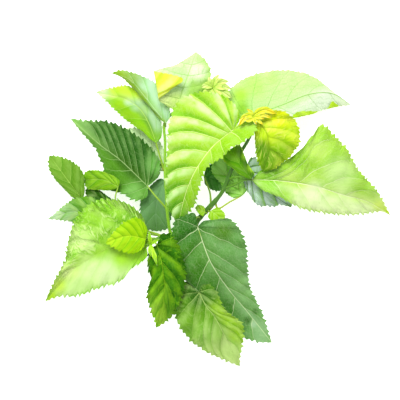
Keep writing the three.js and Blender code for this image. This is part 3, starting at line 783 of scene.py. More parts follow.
def blade_under(name, vein, vein_share):
    """The underside: dull and paler, its veins raised and a fine net between them."""
    finish = Finish(name)
    at = blade_point(finish)
    main, cross, net = vein_masks(finish, at)
    patches = finish.noise(at.place, 14.0)
    tone = finish.attribute("undertone", "Color")
    tone = finish.mix(patches.rising(0.4, 0.75) * 0.22, tone, UNDER_SHADE, "MULTIPLY")
    for share in (net * 0.2, cross * vein_share * 0.4, main * vein_share):
        tone = finish.mix(share, tone, shade(*vein))
    down = finish.noise(at.place, 0.4, 3.0)
    finish.bump(down * 0.08 + main * 0.25 + cross * 0.15 + net * 0.08, 0.8)
    return finish.done(tone, 0.6 + patches * 0.15, SHEEN)


print("the two faces share their veins")

# %% Finishes for each kind of leaf
KINDS = {  # slot: name, roughness above, and the veins' green and strength below
    "leaf_bright": ("bright leaf", 0.45, (150, 205, 100), 0.5),
    "leaf_turned": ("turned leaf", 0.45, (138, 196, 74), 0.8),
    "leaf_young": ("young leaf", 0.42, (180, 220, 80), 0.5),
    "leaf_green": ("green leaf", 0.42, (150, 200, 100), 0.5),
    "leaf_dark": ("dark leaf", 0.45, (150, 200, 110), 0.5),
    "leaf_grey": ("shaded leaf", 0.5, (120, 170, 120), 0.5),
}
TOPS = {slot: blade_top(name, roughness) for slot, (name, roughness, _, _) in KINDS.items()}
UNDERS = {slot: blade_under(name + ", underside", vein, vein_share)
          for slot, (name, _, vein, vein_share) in KINDS.items()}

# %% [markdown]
# ## Stalks and bark
# Stalks and ribs are smooth and finely streaked along their length. The shoot has a thin green
# bark with pale corky dots, and its cut end shows a ring of pale wood round the pith. A wave
# texture could draw the streaks, but it would run straight through a bent stalk. Noise that is
# read round each rod and along its run bends with it.

# %% Stalk, bark, bud scale and cut wood
STALK_SHADE = (0.62, 0.78, 0.5, 1)
BARK_SHADE = (0.55, 0.72, 0.42, 1)


def streaked(finish, length, turns, share, dark):
    """Darker streaks along a rod, which carries the angle round it and its run. Gives both."""
    angle, run, _ = finish.attribute("leafwise", "Vector").parts()
    around = finish.vector(angle.sine() * turns, (angle + math.pi / 2).sine() * turns, run / length)
    streak = finish.noise(around, 1.0, 4.0)
    tone = finish.attribute("tone", "Color")
    return streak, finish.mix(streak.rising(0.35, 0.7) * share, tone, dark, "MULTIPLY")


def stalk_finish():
    finish = Finish("stalk")
    streak, tone = streaked(finish, 9.0, 1.6, 0.4, STALK_SHADE)
    down = finish.noise(finish.place(), 0.3, 3.0)
    finish.bump(streak * 0.2 + down * 0.04, 0.7)
    return finish.done(tone, 0.45 + streak * 0.2)


def bark_finish():
    finish = Finish("young bark")
    streak, tone = streaked(finish, 12.0, 2.2, 0.5, BARK_SHADE)
    place = finish.place()
    dots = finish.cells(place, 2.6, "F1").rising(0.2, 0.1) * finish.noise(place, 5.0).rising(0.45, 0.55)
    finish.bump(streak * 0.3 + dots * 0.25, 0.8)
    return finish.done(finish.mix(dots * 0.7, tone, shade(190, 205, 130)), 0.42 + streak * 0.25)


def bud_scale_finish():
    finish = Finish("bud scale")
    patch = finish.noise(finish.place(), 1.6)
    tone = finish.mix(patch.rising(0.35, 0.65), shade(150, 165, 50), shade(120, 85, 45))
    finish.bump(patch * 0.3, 0.8)
    return finish.done(tone, 0.5 + patch * 0.2)


def cut_wood_finish():
    finish = Finish("cut wood")
    _, _, radius = finish.attribute("leafwise", "Vector").parts()
    grain = finish.noise(finish.place(), 0.35, 4.0)
    wood = (radius + grain * 0.4).rising(0.3, 1.0)
    tone = finish.mix(wood, shade(235, 240, 215), shade(200, 215, 140))
    tone = finish.mix((radius + grain * 0.3).rising(1.9, 2.3), tone, shade(90, 140, 50))
    finish.bump(grain * 0.15, 0.8)
    return finish.done(tone, 0.65 + grain * 0.15)


STALK_SKIN, BARK = stalk_finish(), bark_finish()
BUD_SCALE, CUT_WOOD = bud_scale_finish(), cut_wood_finish()

# %% [markdown]
# ## Greens
# Each leaf lists its colours at its base, in its middle and at its tip, and where it differs, on
# its left, on its right, along its margin and in a few soft spots, each with its x, y and radius.
# Part of these is the leaf's own green and part is painted light: the pale half of several leaves
# and many pale spots are painted sheen, some spots are painted shade, some are painted light where
# another leaf shades the blade, and on some leaves the margin's green is a painted lit edge. The
# underside is the same leaf, paler and greyer. A turned leaf lists what its underside looks like,
# and "back" is its hidden upper face. "vein" is the colour of the veins, and "highlight" the
# painted highlight on the lit side of the swells between them. A fourth number goes with three of
# these colours: how crinkled the blade is with the upper face's, how plainly the veins show with
# theirs, and how strong the pleats are with the highlight's. Vertex paint could do the same by
# hand, but it would have to be done again each time that a leaf's grid changes.

# %% Tones
UNDERSIDE = (178, 210, 150)
UNDERSIDE_SHARE = 0.6
PATCH_SHARE = 0.85  # how fully a side or a spot takes its own green
RIM_SHARE = 0.8


def blend(share, first, second):
    return first + (second - first) * share[:, None]


def tones(leaf, points, along, across):
    """The colours of a blade's two faces, of its veins and of its painted highlights at each of its
    places.
    """
    near, middle, tip = (green(colour) for colour in leaf["tones"])
    shown = blend(smooth(0.0, 0.45, along), near, middle)
    shown = blend(smooth(0.5, 1.0, along), shown, tip)
    for side, sign in SIDES:
        # a side's green: the leaf's own colour on some leaves, painted sheen where it is pale
        if "on_" + side in leaf:
            share = smooth(0.0, 0.4, sign * across) * smooth(0.03, 0.2, along)
            share = share * PATCH_SHARE * smooth(1.0, 0.75, along)
            shown = blend(share, shown, green(leaf["on_" + side]))
    # the margin's green, which on some leaves is a painted lit edge
    if "rim" in leaf:
        shown = blend(smooth(0.86, 1.0, np.abs(across)) * RIM_SHARE, shown, green(leaf["rim"]))
    # soft spots of the leaf's own colour, of painted sheen, of painted shade, and of painted light
    # where another leaf shades the blade
    for x, y, radius, colour in leaf["spots"]:
        away = np.linalg.norm(points[:, :2] - np.array([x, y]), axis=1)
        shown = blend(smooth(1.3, 0.2, away / radius) * PATCH_SHARE, shown, green(colour))
    every = np.ones(len(along))
    if leaf["turned"]:
        top, under = blend(every, shown, green(leaf["back"])), shown
    else:
        top, under = shown, blend(every * UNDERSIDE_SHARE, shown, green(UNDERSIDE))
    # painted highlight: the green that the lit side of each swell is mixed towards
    crest = blend(every * leaf["crest_share"], shown, green(leaf["crest"]))
    vein = blend(every, shown, green(leaf["vein"]))
    top[:, 3] = sided(leaf, "crinkle", across)
    vein[:, 3] = leaf["vein_share"]
    crest[:, 3] = sided(leaf, "ribbing", across)
    return {"tone": top, "undertone": under, "veintone": vein, "crest": crest}


print("an underside is mixed with", UNDERSIDE)

# %% Blade sheets
BLADE_THICKNESS = 0.36
EDGE_CLUSTER = 0.5  # how far columns gather near the midrib and the margin
ROW_STEP = 0.01  # share of the outline over which the gap between veins is measured


def sheet(leaf):
    """The middle sheet of a blade, as a mesh with its measures and its tones."""
    mesh = bmesh.new()
    layers = layers_of(mesh)
    made, place = grid(mesh, 2 * leaf["columns"], round(leaf["left_line"].length / leaf["row"]))
    across, along = 2 * place[:, 0] - 1, place[:, 1]
    share = np.abs(across)
    share = share + EDGE_CLUSTER * ((1 - np.cos(math.pi * share)) / 2 - share)
    across = np.sign(across) * share
    points, _, count, distance = blade(leaf, along, across)
    ahead, _, more, _ = blade(leaf, np.minimum(along + ROW_STEP, 1), across)
    behind, _, fewer, _ = blade(leaf, np.maximum(along - ROW_STEP, 0), across)
    gap = np.linalg.norm(ahead - behind, axis=1) / np.maximum(more - fewer, 1e-6)
    move(made, placed(points))
    write(made, layers["leafwise"], np.stack([across, count, along], axis=1))
    write(made, layers["spread"], np.stack([distance, gap, np.zeros_like(gap)], axis=1))
    for name, values in tones(leaf, points, along, across).items():
        write(made, layers[name], values)
    bmesh.ops.remove_doubles(mesh, verts=mesh.verts[:], dist=MERGE_DISTANCE)
    for face in mesh.faces:
        face.smooth = True
    return mesh


def thickened(mesh, name, materials):
    """Gives a sheet its thickness with a Solidify modifier, and keeps the result."""
    thing = keep(mesh, name, materials)
    solidify = thing.modifiers.new("thickness", "SOLIDIFY")
    solidify.thickness = BLADE_THICKNESS * MM
    solidify.offset = 0.0
    solidify.material_offset = 1
    solidify.material_offset_rim = 1
    solidify.use_even_offset = False
    shown = thing.evaluated_get(bpy.context.evaluated_depsgraph_get())
    thin = thing.data
    thing.data = bpy.data.meshes.new_from_object(shown)
    thing.modifiers.clear()
    thing.data.name = name
    bpy.data.meshes.remove(thin)
    return thing


print("a large blade is", 2 * SIZES["large"]["columns"], "columns wide")

# %% [markdown]
# ## A whole leaf
# Each leaf is one piece: its thin blade, its stalk, which runs on as the midrib, and its side
# veins, which stand out of the underside as fine rods. Only their lower halves show, as on the
# real leaf. It takes the place of the CAD leaf of the same name.

# %% Ribs and stalk
MIDRIB = (0.85, 0.2)  # radius at the blade's base and near its tip
SIDE_RIB = (0.42, 0.1)
RIB_ABOVE = 0.1  # how far a rib's top reaches into the blade
RIB_STEPS, SIDE_RIB_STEPS = 36, 20
RIB_SIDES, SIDE_RIB_SIDES, STALK_SIDES = 8, 6, 10
STALK_STEP = 1.5
STALK_TAPER = (1.05, 0.35)  # a stalk's radius at its foot, and how much of it is lost
STALK_FLARE, FLARE_LENGTH = 0.4, 3.0  # how much wider a stalk is at its foot, as a share
SKIN = 2  # where a leaf's materials have the stalk's


def rib_rod(mesh, leaf, along, across, radii, sides):
    """A rib along the blade, on its underside."""
    points, up, _, _ = blade(leaf, along, across)
    side = 1 if leaf["turned"] else -1
    points = points + side * up * (np.array(radii) - RIB_ABOVE)[:, None]
    add_rod(mesh, points, radii, sides, SKIN, green(leaf["stalk_green"]))


def add_ribs(mesh, leaf):
    fan, scale = fan_share(leaf), leaf["rib_scale"]
    along = fan + (0.97 - fan) * np.linspace(0, 1, RIB_STEPS)
    midrib = np.linspace(MIDRIB[0] * scale, MIDRIB[1], RIB_STEPS)
    rib_rod(mesh, leaf, along, np.zeros(RIB_STEPS), midrib, RIB_SIDES)
    out = np.linspace(0.03, 0.93, SIDE_RIB_STEPS)
    radii = np.linspace(SIDE_RIB[0] * scale, SIDE_RIB[1], SIDE_RIB_STEPS)
    for side, sign in SIDES:
        for start, end in zip(*leaf[side + "_stops"]):
            along = start + (end - start) * out**VEIN_ARCH
            rib_rod(mesh, leaf, along, out * sign, radii, SIDE_RIB_SIDES)


def add_stalk(mesh, leaf):
    """The petiole, from inside the shoot to below the base of the midrib."""
    side = 1 if leaf["turned"] else -1
    ends = leaf["rib_line"].at(np.array([0.02, 0.1]))
    ends[:, 2] = np.maximum(ends[:, 2] + side * leaf["stalk"] * 0.8, 1)
    line = Line([*leaf["petiole"], *ends])
    share = np.linspace(0, 1, max(8, round(line.length / STALK_STEP)))
    flare = 1 + STALK_FLARE * np.exp(-share * line.length / FLARE_LENGTH)
    radii = leaf["stalk"] * (STALK_TAPER[0] - STALK_TAPER[1] * share) * flare
    add_rod(mesh, line.at(share), radii, STALK_SIDES, SKIN, green(leaf["stalk_green"]))


print("ribs taper from", MIDRIB[0], "to", MIDRIB[1], "mm")

# %% Growing a leaf
leaves = []


def grow(name, size, slot, **measures):
    """Makes a leaf from its measures, and keeps them for the shoots."""
    leaf = prepare({"name": name, "size": size, **measures})
    faces = [TOPS[slot], UNDERS[slot]]
    if leaf["turned"]:
        faces.reverse()
    thing = thickened(sheet(leaf), name + "_blade", [*faces, STALK_SKIN])
    mesh = bmesh.new()
    mesh.from_mesh(thing.data)
    soften(mesh)
    add_ribs(mesh, leaf)
    add_stalk(mesh, leaf)
    mesh.to_mesh(thing.data)
    mesh.free()
    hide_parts(name)
    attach(thing, "root")
    leaves.append(leaf)
    print(name, len(thing.data.polygons), "faces")


print("materials in all", len(bpy.data.materials))

# %% [markdown]
# ## The measures of each leaf
# The lines below are those that the CAD model is built on. They are in millimetres, each point
# as x, y and height over the surface: the stalk from the shoot ("petiole"), the midrib ("rib"),
# and the two sides of the outline from base to tip ("left" and "right"). Where the side veins are
# plain to see they are drawn too, each as x, y on the midrib and x, y on the margin. Otherwise
# they are spaced evenly.
#
# A leaf could also be bent out of one template, but no two leaves of a mulberry are alike: some
# are lobed, some folded, some seen from below. "pleat" is how high the blade stands between two
# veins, "ribbing" how plainly that shows, and "crinkle" how crumpled it is. Both can be given to
# one side, -1 for the left and 1 for the right. "fan" is how many intervals between veins start
# at the base.
#
# The leaf in front arches over the middle of the sprig. Its furrows are the deepest, mainly in
# its wider right half, so it has a fine grid.

# %% The leaf in front
grow("leaf_centre_front", "large", "leaf_bright", pleat=2.4, columns=28, ribbing=1.0, ribbing_side=1,
     crinkle=0.25, vein_share=1.0, crest_share=0.9,
     tones=((182, 226, 55), (172, 220, 58), (112, 184, 8)), on_left=(150, 208, 25),
     vein=(236, 252, 160), crest=(216, 252, 172),
     spots=[(-40, -5, 9, (115, 185, 10)), (-45, 88, 12, (215, 250, 130)),
       (-45, 55, 10, (208, 240, 120)), (8, 99, 9, (205, 246, 100))],
     petiole=[(31.5, 75, 61), (25, 77, 67)],
     rib=[(15, 79.5, 72), (-5, 63, 74), (-21, 41.5, 70), (-31, 20, 58), (-40, -14, 37)],
     left=[(22, 86, 76), (32, 88, 78), (39, 81, 80), (28, 69, 83), (14, 62, 83), (3, 51, 80),
       (-11, 42, 74), (-19, 20, 62), (-24, 4, 50)],
     right=[(21, 89, 74), (20, 98, 76), (8, 112, 78), (-18, 117, 74), (-40, 107, 68), (-49, 82, 63),
       (-50, 60, 59), (-52, 23, 48), (-49, 0, 41)],
     left_veins=[(15, 80, 36, 84), (12, 77, 24, 66.5), (2, 69, 6, 54), (-8, 59, -5, 45),
       (-19, 44, -16, 28), (-27, 28, -23, 10), (-33, 13, -29, -4)],
     right_veins=[(15, 80, 20, 98), (14, 79, 2, 114), (13, 78, -26, 114), (10, 76, -47, 92),
       (2, 69, -50, 74), (-11, 57.5, -51, 52), (-21, 42, -52, 33), (-30, 25, -51, 14),
       (-35, 8, -46, -6)])

# %% [markdown]
# ## Two turned leaves
# The leaf at the top and the large one beside it show their undersides: dull and pale, with
# veins that stand out. They are the same kind of blade with its two finishes changed over. The
# first has its left margin folded over along a crease, and shows the yellow upper face. The other
# has two curls in its right margin. The Simple Deform modifier can bend like that, but only a
# whole object about one axis, so here the points past the crease are laid round an arc.
# A fold is given as the two ends of its crease, its radius and how far it turns. A curl is given
# as its side, its place, its half length and its width.

# %% The turned leaves
# The pale spots next to the fold are painted light that lifts the shade the fold casts.
grow("leaf_top_turned", "large", "leaf_turned", pleat=1.2, turned=True, fan=1, tooth=1.5,
     rib_scale=0.35, columns=34, fold=((-56.5, 113), (-61, 138), 3.0, 2.85),
     tones=((190, 238, 92), (212, 246, 176), (206, 243, 168)), back=(225, 232, 70),
     on_right=(166, 212, 88), stalk_green=(195, 235, 130),
     spots=[(-42, 108, 12, (232, 255, 150)), (-54, 110, 10, (236, 255, 165)),
       (-20, 138, 11, (242, 255, 218)), (-10, 121, 8, (165, 212, 92))],
     petiole=[(-45, 96, 35.5), (-45, 97, 43)],
     rib=[(-42, 100, 50), (-36, 118, 55), (-28, 140, 53), (-22, 158, 44)],
     left=[(-49, 102.5, 51), (-57, 108, 54), (-75, 113.5, 57), (-93, 119, 58), (-78, 131, 57),
       (-60, 140, 55), (-44, 144, 53), (-32, 151, 49)],
     right=[(-34, 98, 50), (-20, 103, 50), (-13, 120, 50), (-7, 136, 49), (-13, 150, 46)])
grow("leaf_upper_right_turned", "large", "leaf_turned", pleat=1.6, turned=True, tooth=1.3,
     rib_scale=0.35, curls=[("right", 0.5, 0.14, 10), ("right", 0.8, 0.07, 8)], ribbing=0.15,
     tones=((170, 232, 55), (212, 248, 170), (240, 252, 216)), back=(200, 240, 15),
     on_left=(205, 246, 155), on_right=(240, 255, 225), stalk_green=(158, 212, 92),
     spots=[(36, 124, 15, (188, 238, 115)), (22, 114, 10, (178, 230, 60)),
       (54, 131, 9, (192, 240, 130)), (24, 101, 9, (150, 212, 35)), (108, 112, 12, (240, 255, 225))],
     petiole=[(33, 83, 63), (31, 86, 55)],
     rib=[(30, 93, 48), (62, 104, 45), (92, 116, 35), (115, 117, 18), (134.7, 106.4, 0.4)],
     left=[(24, 90.5, 47.5), (15, 93.5, 47), (7, 102, 46), (7, 113, 46), (18, 126, 45), (38, 136, 43),
       (69, 140, 36), (94, 135, 26), (117, 119, 10)],
     right=[(37, 89, 48), (54, 89, 46), (75, 91.5, 40), (93, 95.5, 31), (106, 100.5, 22),
       (120, 104, 10)],
     left_veins=[(31, 93, 6, 107), (32, 93.5, 13, 121), (33, 94, 40, 137), (48, 99, 72, 139),
       (67, 106, 96, 134), (90, 115, 114, 121)],
     right_veins=[(31, 93, 41, 89), (46, 98, 61, 90), (67, 106, 83, 94), (90, 115, 104, 100),
       (112, 117, 124, 105)])

# %% [markdown]
# ## The leaves at the right
# A young leaf hangs from the tip, yellow where the light comes through it. Below it lies a large
# blade, dark at its base and pale further out. A blue-grey one shows behind it, and a small
# folded one stands up at its stalk. They need no finishes of their own, because the greens are
# in the mesh.

# %% The young leaf and the large leaf
grow("leaf_young_right", "medium", "leaf_young", pleat=1.8, ribbing=0.3, ribbing_side=-1, crinkle=0.75,
     vein_share=0.35, crest_share=0.8,
     tones=((255, 255, 30), (208, 240, 50), (108, 168, 2)), on_left=(205, 238, 50), rim=(196, 238, 30),
     vein=(120, 165, 5), crest=(252, 255, 130),
     spots=[(60, 94, 15, (240, 245, 20)), (42, 62, 11, (78, 150, 2)), (50, 52, 13, (92, 162, 5)),
       (63, 60, 13, (128, 190, 8)), (52, 82, 6, (222, 240, 80))],
     petiole=[(34.7, 89.5, 66), (38.5, 89.5, 70)],
     rib=[(39.5, 88.5, 74), (48, 75, 77), (50, 58, 70), (45, 38, 60)],
     left=[(40, 97, 77), (52, 99.5, 80), (69, 96, 78), (79, 84, 72), (80, 65, 66), (68, 50, 62),
       (55, 41, 60)],
     right=[(36.5, 83, 72), (36.5, 72, 71), (37, 63, 69), (39, 50, 64)],
     left_veins=[(40, 88, 52, 99.5), (41, 87, 74, 91), (44, 82, 81, 74), (48, 73, 77, 58),
       (50, 61, 65, 47)])
# Its pale right half and pale spots are painted sheen, and the dark green at its base is partly painted
# shade under the young leaf.
grow("leaf_right_large", "large", "leaf_bright", pleat=2.0, fan=1, stalk=THICK_STALK, ribbing=0.12,
     crinkle=0.42, vein_share=1.0, crest_share=0.6,
     tones=((92, 154, 2), (190, 233, 95), (222, 250, 148)), on_left=(160, 218, 55),
     on_right=(236, 254, 192), rim=(175, 225, 60), vein=(242, 255, 192), stalk_green=(96, 150, 30),
     spots=[(52, 42, 14, (86, 150, 0)), (50, 22, 15, (145, 218, 0)), (66, 13, 12, (155, 220, 15)),
       (97, 18, 13, (235, 255, 195)), (125, 10, 14, (228, 252, 175)), (100, 60, 14, (200, 240, 110)),
       (80, 50, 10, (134, 196, 22)), (72, 33, 10, (195, 234, 105)), (122, 36, 20, (208, 244, 152)),
       (163, 4, 7, (225, 252, 110)), (171, -4, 8, (218, 250, 50))],
     petiole=[(6, 21.5, 42), (16, 25, 46.5), (27, 30, 51)],
     rib=[(34, 30, 53), (54, 29.6, 52), (78, 27, 48), (103, 22, 40), (127, 14.6, 28), (149, 9, 15),
       (175, -5.6, 0.4)],
     left=[(44, 40, 52), (62, 46, 53), (81, 59, 54), (95, 76, 54), (104, 85, 52), (117, 74, 46),
       (130, 60, 39), (140, 42, 30), (161, 19, 13)],
     right=[(37, 26, 54), (45, 19.5, 54), (62, 12.5, 51), (82, 2, 43), (105, -3, 33), (132, -5, 19),
       (155, -3, 8), (166, -1.5, 3)],
     left_veins=[(36, 30, 56, 44), (44, 30, 103, 84), (54, 29.6, 119, 72), (79, 27, 138, 46),
       (103, 22, 153, 29), (127, 15, 166, 12)],
     right_veins=[(36, 30, 46, 19), (55, 29.6, 70, 9), (79, 27, 97, -1), (100, 22.5, 120, -4.5),
       (120, 16.5, 137, -5), (140, 11, 155, -3)])

# %% The leaf behind and the folded leaf
grow("leaf_right_behind", "medium", "leaf_grey", pleat=1.4, ribbing=0.9, crinkle=1.0, vein_share=0.9,
     crest_share=0.7,
     tones=((172, 206, 176), (200, 230, 206), (206, 236, 218)), vein=(30, 82, 58),
     crest=(222, 246, 232), stalk_green=(96, 150, 40),
     petiole=[(16.5, 46, 50.5), (22, 44, 46)],
     rib=[(28, 42, 44), (44, 24, 38), (74, 2.5, 18)],
     left=[(34, 53, 45), (50, 42, 40), (67, 25, 30), (75, 12, 21)],
     right=[(26, 28, 41), (31, 16, 38), (40, 5, 31), (55, 4, 25), (65, 5, 20)])
# Its bright margin and the two pale spots on it are a painted lit edge.
grow("leaf_small_folded", "small", "leaf_green", pleat=1.0, ribbing=0.7, vein_share=0.25,
     crest_share=0.1,
     tones=((76, 132, 2), (86, 144, 2), (116, 178, 6)), on_left=(108, 172, 4), on_right=(64, 112, 2),
     rim=(195, 245, 60), stalk_green=(104, 160, 28),
     spots=[(33, 42, 5, (176, 226, 60)), (27, 54, 5, (160, 216, 50))],
     petiole=[(10, 31, 45.6), (20, 33, 53)],
     rib=[(33, 31, 57.5), (22, 45, 63), (13, 61, 65)],
     left=[(26, 33, 58), (14, 42, 60), (4, 52, 62), (8, 58, 65)],
     right=[(36, 36, 58), (30, 45, 57), (26, 54, 60), (21, 65, 63)])

# %% [markdown]
# ## Behind the shoot
# Two small leaves stand in the shade behind the main shoot. They are of the small size: fewer
# veins, lower teeth and fewer columns. A flat card would do from above, but not from the side.

# %% The leaves behind the shoot
# Its dark greens are painted shade behind the shoot.
grow("leaf_dark_behind_stem", "small", "leaf_dark", pleat=1.0, ribbing=0.6, crest_share=0.4,
     tones=((52, 112, 30), (72, 134, 52), (104, 160, 88)), vein=(60, 112, 40), crest=(150, 198, 130),
     petiole=[(-7, 4.5, 34.2), (-8, 17, 32)],
     rib=[(-14, 34, 28), (-4, 30, 23), (8, 21, 16)],
     left=[(-11, 44, 26), (0, 46, 22), (8, 34, 18)],
     right=[(-13, 26, 27), (-6, 20, 21), (1, 19, 18)])
grow("leaf_pale_behind_stem", "small", "leaf_grey", pleat=1.0, ribbing=0.8, crinkle=1.1,
     crest_share=0.7,
     tones=((100, 170, 45), (168, 235, 105), (192, 250, 140)), crest=(190, 245, 135),
     stalk_green=(178, 200, 62),
     petiole=[(-3, 9, 36.5), (0, 1.5, 33), (12, 8, 35)],
     rib=[(25, 15, 36), (12, 32, 33), (-6, 48, 30)],
     left=[(16, 12, 34), (8, 17, 32), (3, 26, 31), (-6, 38, 29)],
     right=[(29, 20, 34), (31, 31, 34), (26, 44, 34), (12, 53, 32), (0, 55, 31)])

# %% [markdown]
# ## The leaves at the bottom
# The old dark leaf is the largest. The sprig rests on its tip, which is pressed flat there, so
# the relief fades where the blade comes near the surface. The leaf beside it is narrow and
# puckered all over, and a pale one with lobes lies over the dark one.

# %% The dark leaf
grow("leaf_bottom_dark", "large", "leaf_dark", pleat=2.0, ribbing=0.35, crinkle=0.35, vein_share=0.85,
     tones=((42, 96, 6), (106, 160, 78), (152, 198, 136)), on_left=(112, 166, 90),
     on_right=(70, 134, 22), vein=(228, 248, 190), crest=(150, 200, 135),
     spots=[(25, -80, 18, (138, 190, 112)), (-32, -18, 18, (48, 112, 0)), (-44, -60, 13, (62, 128, 10)),
       (5, -22, 12, (84, 134, 30)), (30, -112, 5, (62, 112, 42)), (38, -103, 4, (70, 120, 50)),
       (26, -121, 4, (78, 128, 58)), (36, -116, 4, (175, 212, 165))],
     petiole=[(-17, -7.5, 26.4), (-22, -8, 34)],
     rib=[(-20.4, -17, 42), (-8, -51, 36), (10, -79, 20), (28, -101, 5), (40, -116, 0.2),
       (55, -134.7, 0.2)],
     left=[(-14, -11, 44), (-4, -10, 46), (11, -8.7, 48), (22, -19, 44), (28.5, -36, 37), (30, -60, 24),
       (32, -76, 12), (38, -90, 3), (46, -106, 0.2), (52, -125, 0.2)],
     right=[(-24, -3, 45), (-34, -6, 48), (-43, -10, 50), (-46, -24, 47), (-43, -42, 41),
       (-36, -62, 33), (-22, -86, 19), (-4, -108, 5), (18, -126, 0.2), (40, -134, 0.2)],
     left_veins=[(-20, -17, 8, -9), (-19, -18, 29, -42), (-13, -38, 31, -68), (-5, -57, 34, -83),
       (8, -77, 42, -99), (26, -99, 50, -118)],
     right_veins=[(-20, -17, -42, -10), (-20, -19, -44, -38), (-17, -31, -39, -56), (-9, -50, -24, -84),
       (2, -68, -6, -106), (17, -89, 16, -125), (35, -110, 40, -134)])

# %% The puckered leaf and the pale leaf
grow("leaf_bottom_centre", "large", "leaf_green", pleat=2.4, ribbing=0.9, crinkle=1.1, crest_share=0.36,
     tones=((34, 88, 0), (78, 142, 0), (186, 238, 78)), on_left=(54, 116, 0), vein=(165, 218, 60),
     crest=(172, 228, 45),
     petiole=[(-65.5, -31.5, 37.5), (-62.5, -33, 45)],
     rib=[(-60.6, -35, 50), (-56, -54, 52), (-53.5, -80, 45), (-57, -102, 34), (-62, -119, 25)],
     left=[(-56, -24, 52), (-46, -25, 54), (-37, -40, 54), (-32, -60, 50), (-35, -83, 45),
       (-43, -103, 38), (-52, -112, 31)],
     right=[(-68, -40, 48), (-70, -57, 46), (-67, -68, 44), (-71, -83, 39), (-69, -96, 34),
       (-64, -110, 28)],
     left_veins=[(-60.5, -36, -43, -27), (-60, -38, -32, -60), (-57, -51, -35, -84),
       (-54, -69, -43, -103), (-54.5, -90, -53, -113)],
     right_veins=[(-61, -36, -69, -48), (-58, -45, -68, -66), (-55, -60, -71, -84),
       (-54, -77, -69, -98), (-56, -96, -65, -112)])
grow("leaf_bottom_pale", "large", "leaf_bright", pleat=2.2, ribbing=0.4, crinkle=0.5, crest_share=0.55,
     tones=((34, 84, 2), (120, 176, 50), (228, 254, 160)), on_left=(158, 206, 52), vein=(205, 238, 135),
     stalk_green=(62, 104, 34),
     spots=[(-20, -86, 17, (44, 94, 0)), (-7, -84, 13, (56, 114, 0)), (-36, -94, 9, (98, 152, 40)),
       (-12, -122, 12, (158, 208, 95)), (18, -125, 8, (160, 214, 40)), (14, -143, 12, (212, 255, 140))],
     petiole=[(-47, -25.5, 20.6), (-53, -36, 31), (-52, -49, 40), (-43, -60, 44.5), (-33, -69, 44)],
     rib=[(-18.7, -82.5, 39), (-12, -96, 40), (-4, -106, 36), (6, -125, 27), (13, -139, 18),
       (22.3, -158.3, 6)],
     left=[(-17, -76, 40.5), (-10, -74.5, 42), (-3, -79, 43), (2, -89, 42), (8, -101, 38),
       (17, -107.5, 31), (25.5, -117, 23), (25, -134, 15), (22.5, -148, 10)],
     right=[(-24.5, -77, 39.5), (-31, -71.5, 39.5), (-38, -76, 38.5), (-42, -87, 35.5),
       (-43.5, -104, 30.5), (-32, -126.6, 24), (-13, -142, 16), (5, -151, 10)],
     left_veins=[(-19, -83, -3, -79), (-19, -83, 7, -99), (-14, -92, 20, -110), (-8, -101, 25.5, -125),
       (0, -112, 24, -136), (9, -131, 22.5, -148)],
     right_veins=[(-19, -83, -34, -73), (-19, -83, -42, -87), (-19, -83, -41, -110),
       (-19, -83, -24, -133), (-12, -96, -8, -145), (-4, -107, 4, -151), (5, -124, 12, -154)])

# %% [markdown]
# ## The large leaf at the left
# Its right half is crumpled like paper and its left half nearly smooth, so the crinkle is given
# to one side. A young leaf stands in front of it on a short stalk.

# %% The large leaf at the left and the young one
# Its pale left half and pale spots are painted sheen.
grow("leaf_left_large", "large", "leaf_bright", pleat=2.2, tooth=4.2, ribbing=0.3, ribbing_side=1,
     crinkle=1.4, crinkle_side=1, vein_share=0.3, crest_share=0.6,
     tones=((165, 222, 50), (158, 214, 66), (200, 242, 105)), on_left=(216, 254, 160),
     on_right=(158, 216, 70), rim=(150, 225, 30), vein=(196, 240, 110),
     spots=[(-96, -48, 13, (168, 232, 0)), (-80, -47, 15, (170, 245, 0)),
       (-112, -64, 13, (226, 253, 182)), (-138, -32, 16, (222, 252, 160)),
       (-128, -60, 14, (228, 254, 175)), (-90, -8, 10, (128, 192, 45)), (-118, -3, 11, (140, 200, 50)),
       (-150, -62, 11, (232, 255, 160)), (-160, -77, 8, (208, 246, 85)),
       (-168, -88, 7, (190, 238, 40))],
     petiole=[(-63, -30, 35)],
     rib=[(-71.7, -38.3, 38), (-90, -37, 41), (-109, -38, 39), (-124, -46, 34), (-141, -56.6, 26),
       (-158, -74, 14), (-175, -93, 3)],
     left=[(-71, -46, 37), (-76, -52, 36), (-87, -59, 34), (-97, -71, 29), (-121, -79, 20),
       (-143, -87, 11), (-162, -88, 5)],
     right=[(-69.5, -33, 38.5), (-71, -22, 40.5), (-74, -10, 43), (-82, 1, 45), (-100, 10, 44),
       (-123, 9, 40), (-141, -6, 34), (-149, -26, 27), (-155, -52, 19), (-166, -73, 10)],
     left_veins=[(-72, -38, -80, -54), (-79, -38, -98, -71), (-95, -37, -119, -79),
       (-112, -39, -137, -86), (-128, -48, -152, -89), (-145, -60, -166, -88)],
     right_veins=[(-72, -38, -73, -12), (-73, -38, -95, 8), (-79, -38, -128, 7), (-93, -37, -144, -12),
       (-108, -38, -151, -34), (-125, -47, -157, -57), (-142, -58, -166, -73)])
grow("leaf_young_left", "medium", "leaf_young", pleat=1.4, fan=3, veins=9, ribbing=0.65, crinkle=0.3,
     tones=((165, 215, 15), (158, 212, 12), (190, 235, 55)), vein=(200, 238, 60), crest=(200, 240, 55),
     petiole=[(-66.3, -31, 38.5), (-69, -26.5, 45)],
     rib=[(-72.5, -29, 48), (-90, -26, 53), (-112.5, -33, 51)],
     left=[(-75, -38, 50), (-84, -43.5, 50), (-100, -40, 51)],
     right=[(-71, -18, 51), (-80, -8, 55), (-92, -11, 56), (-105, -23, 54)])

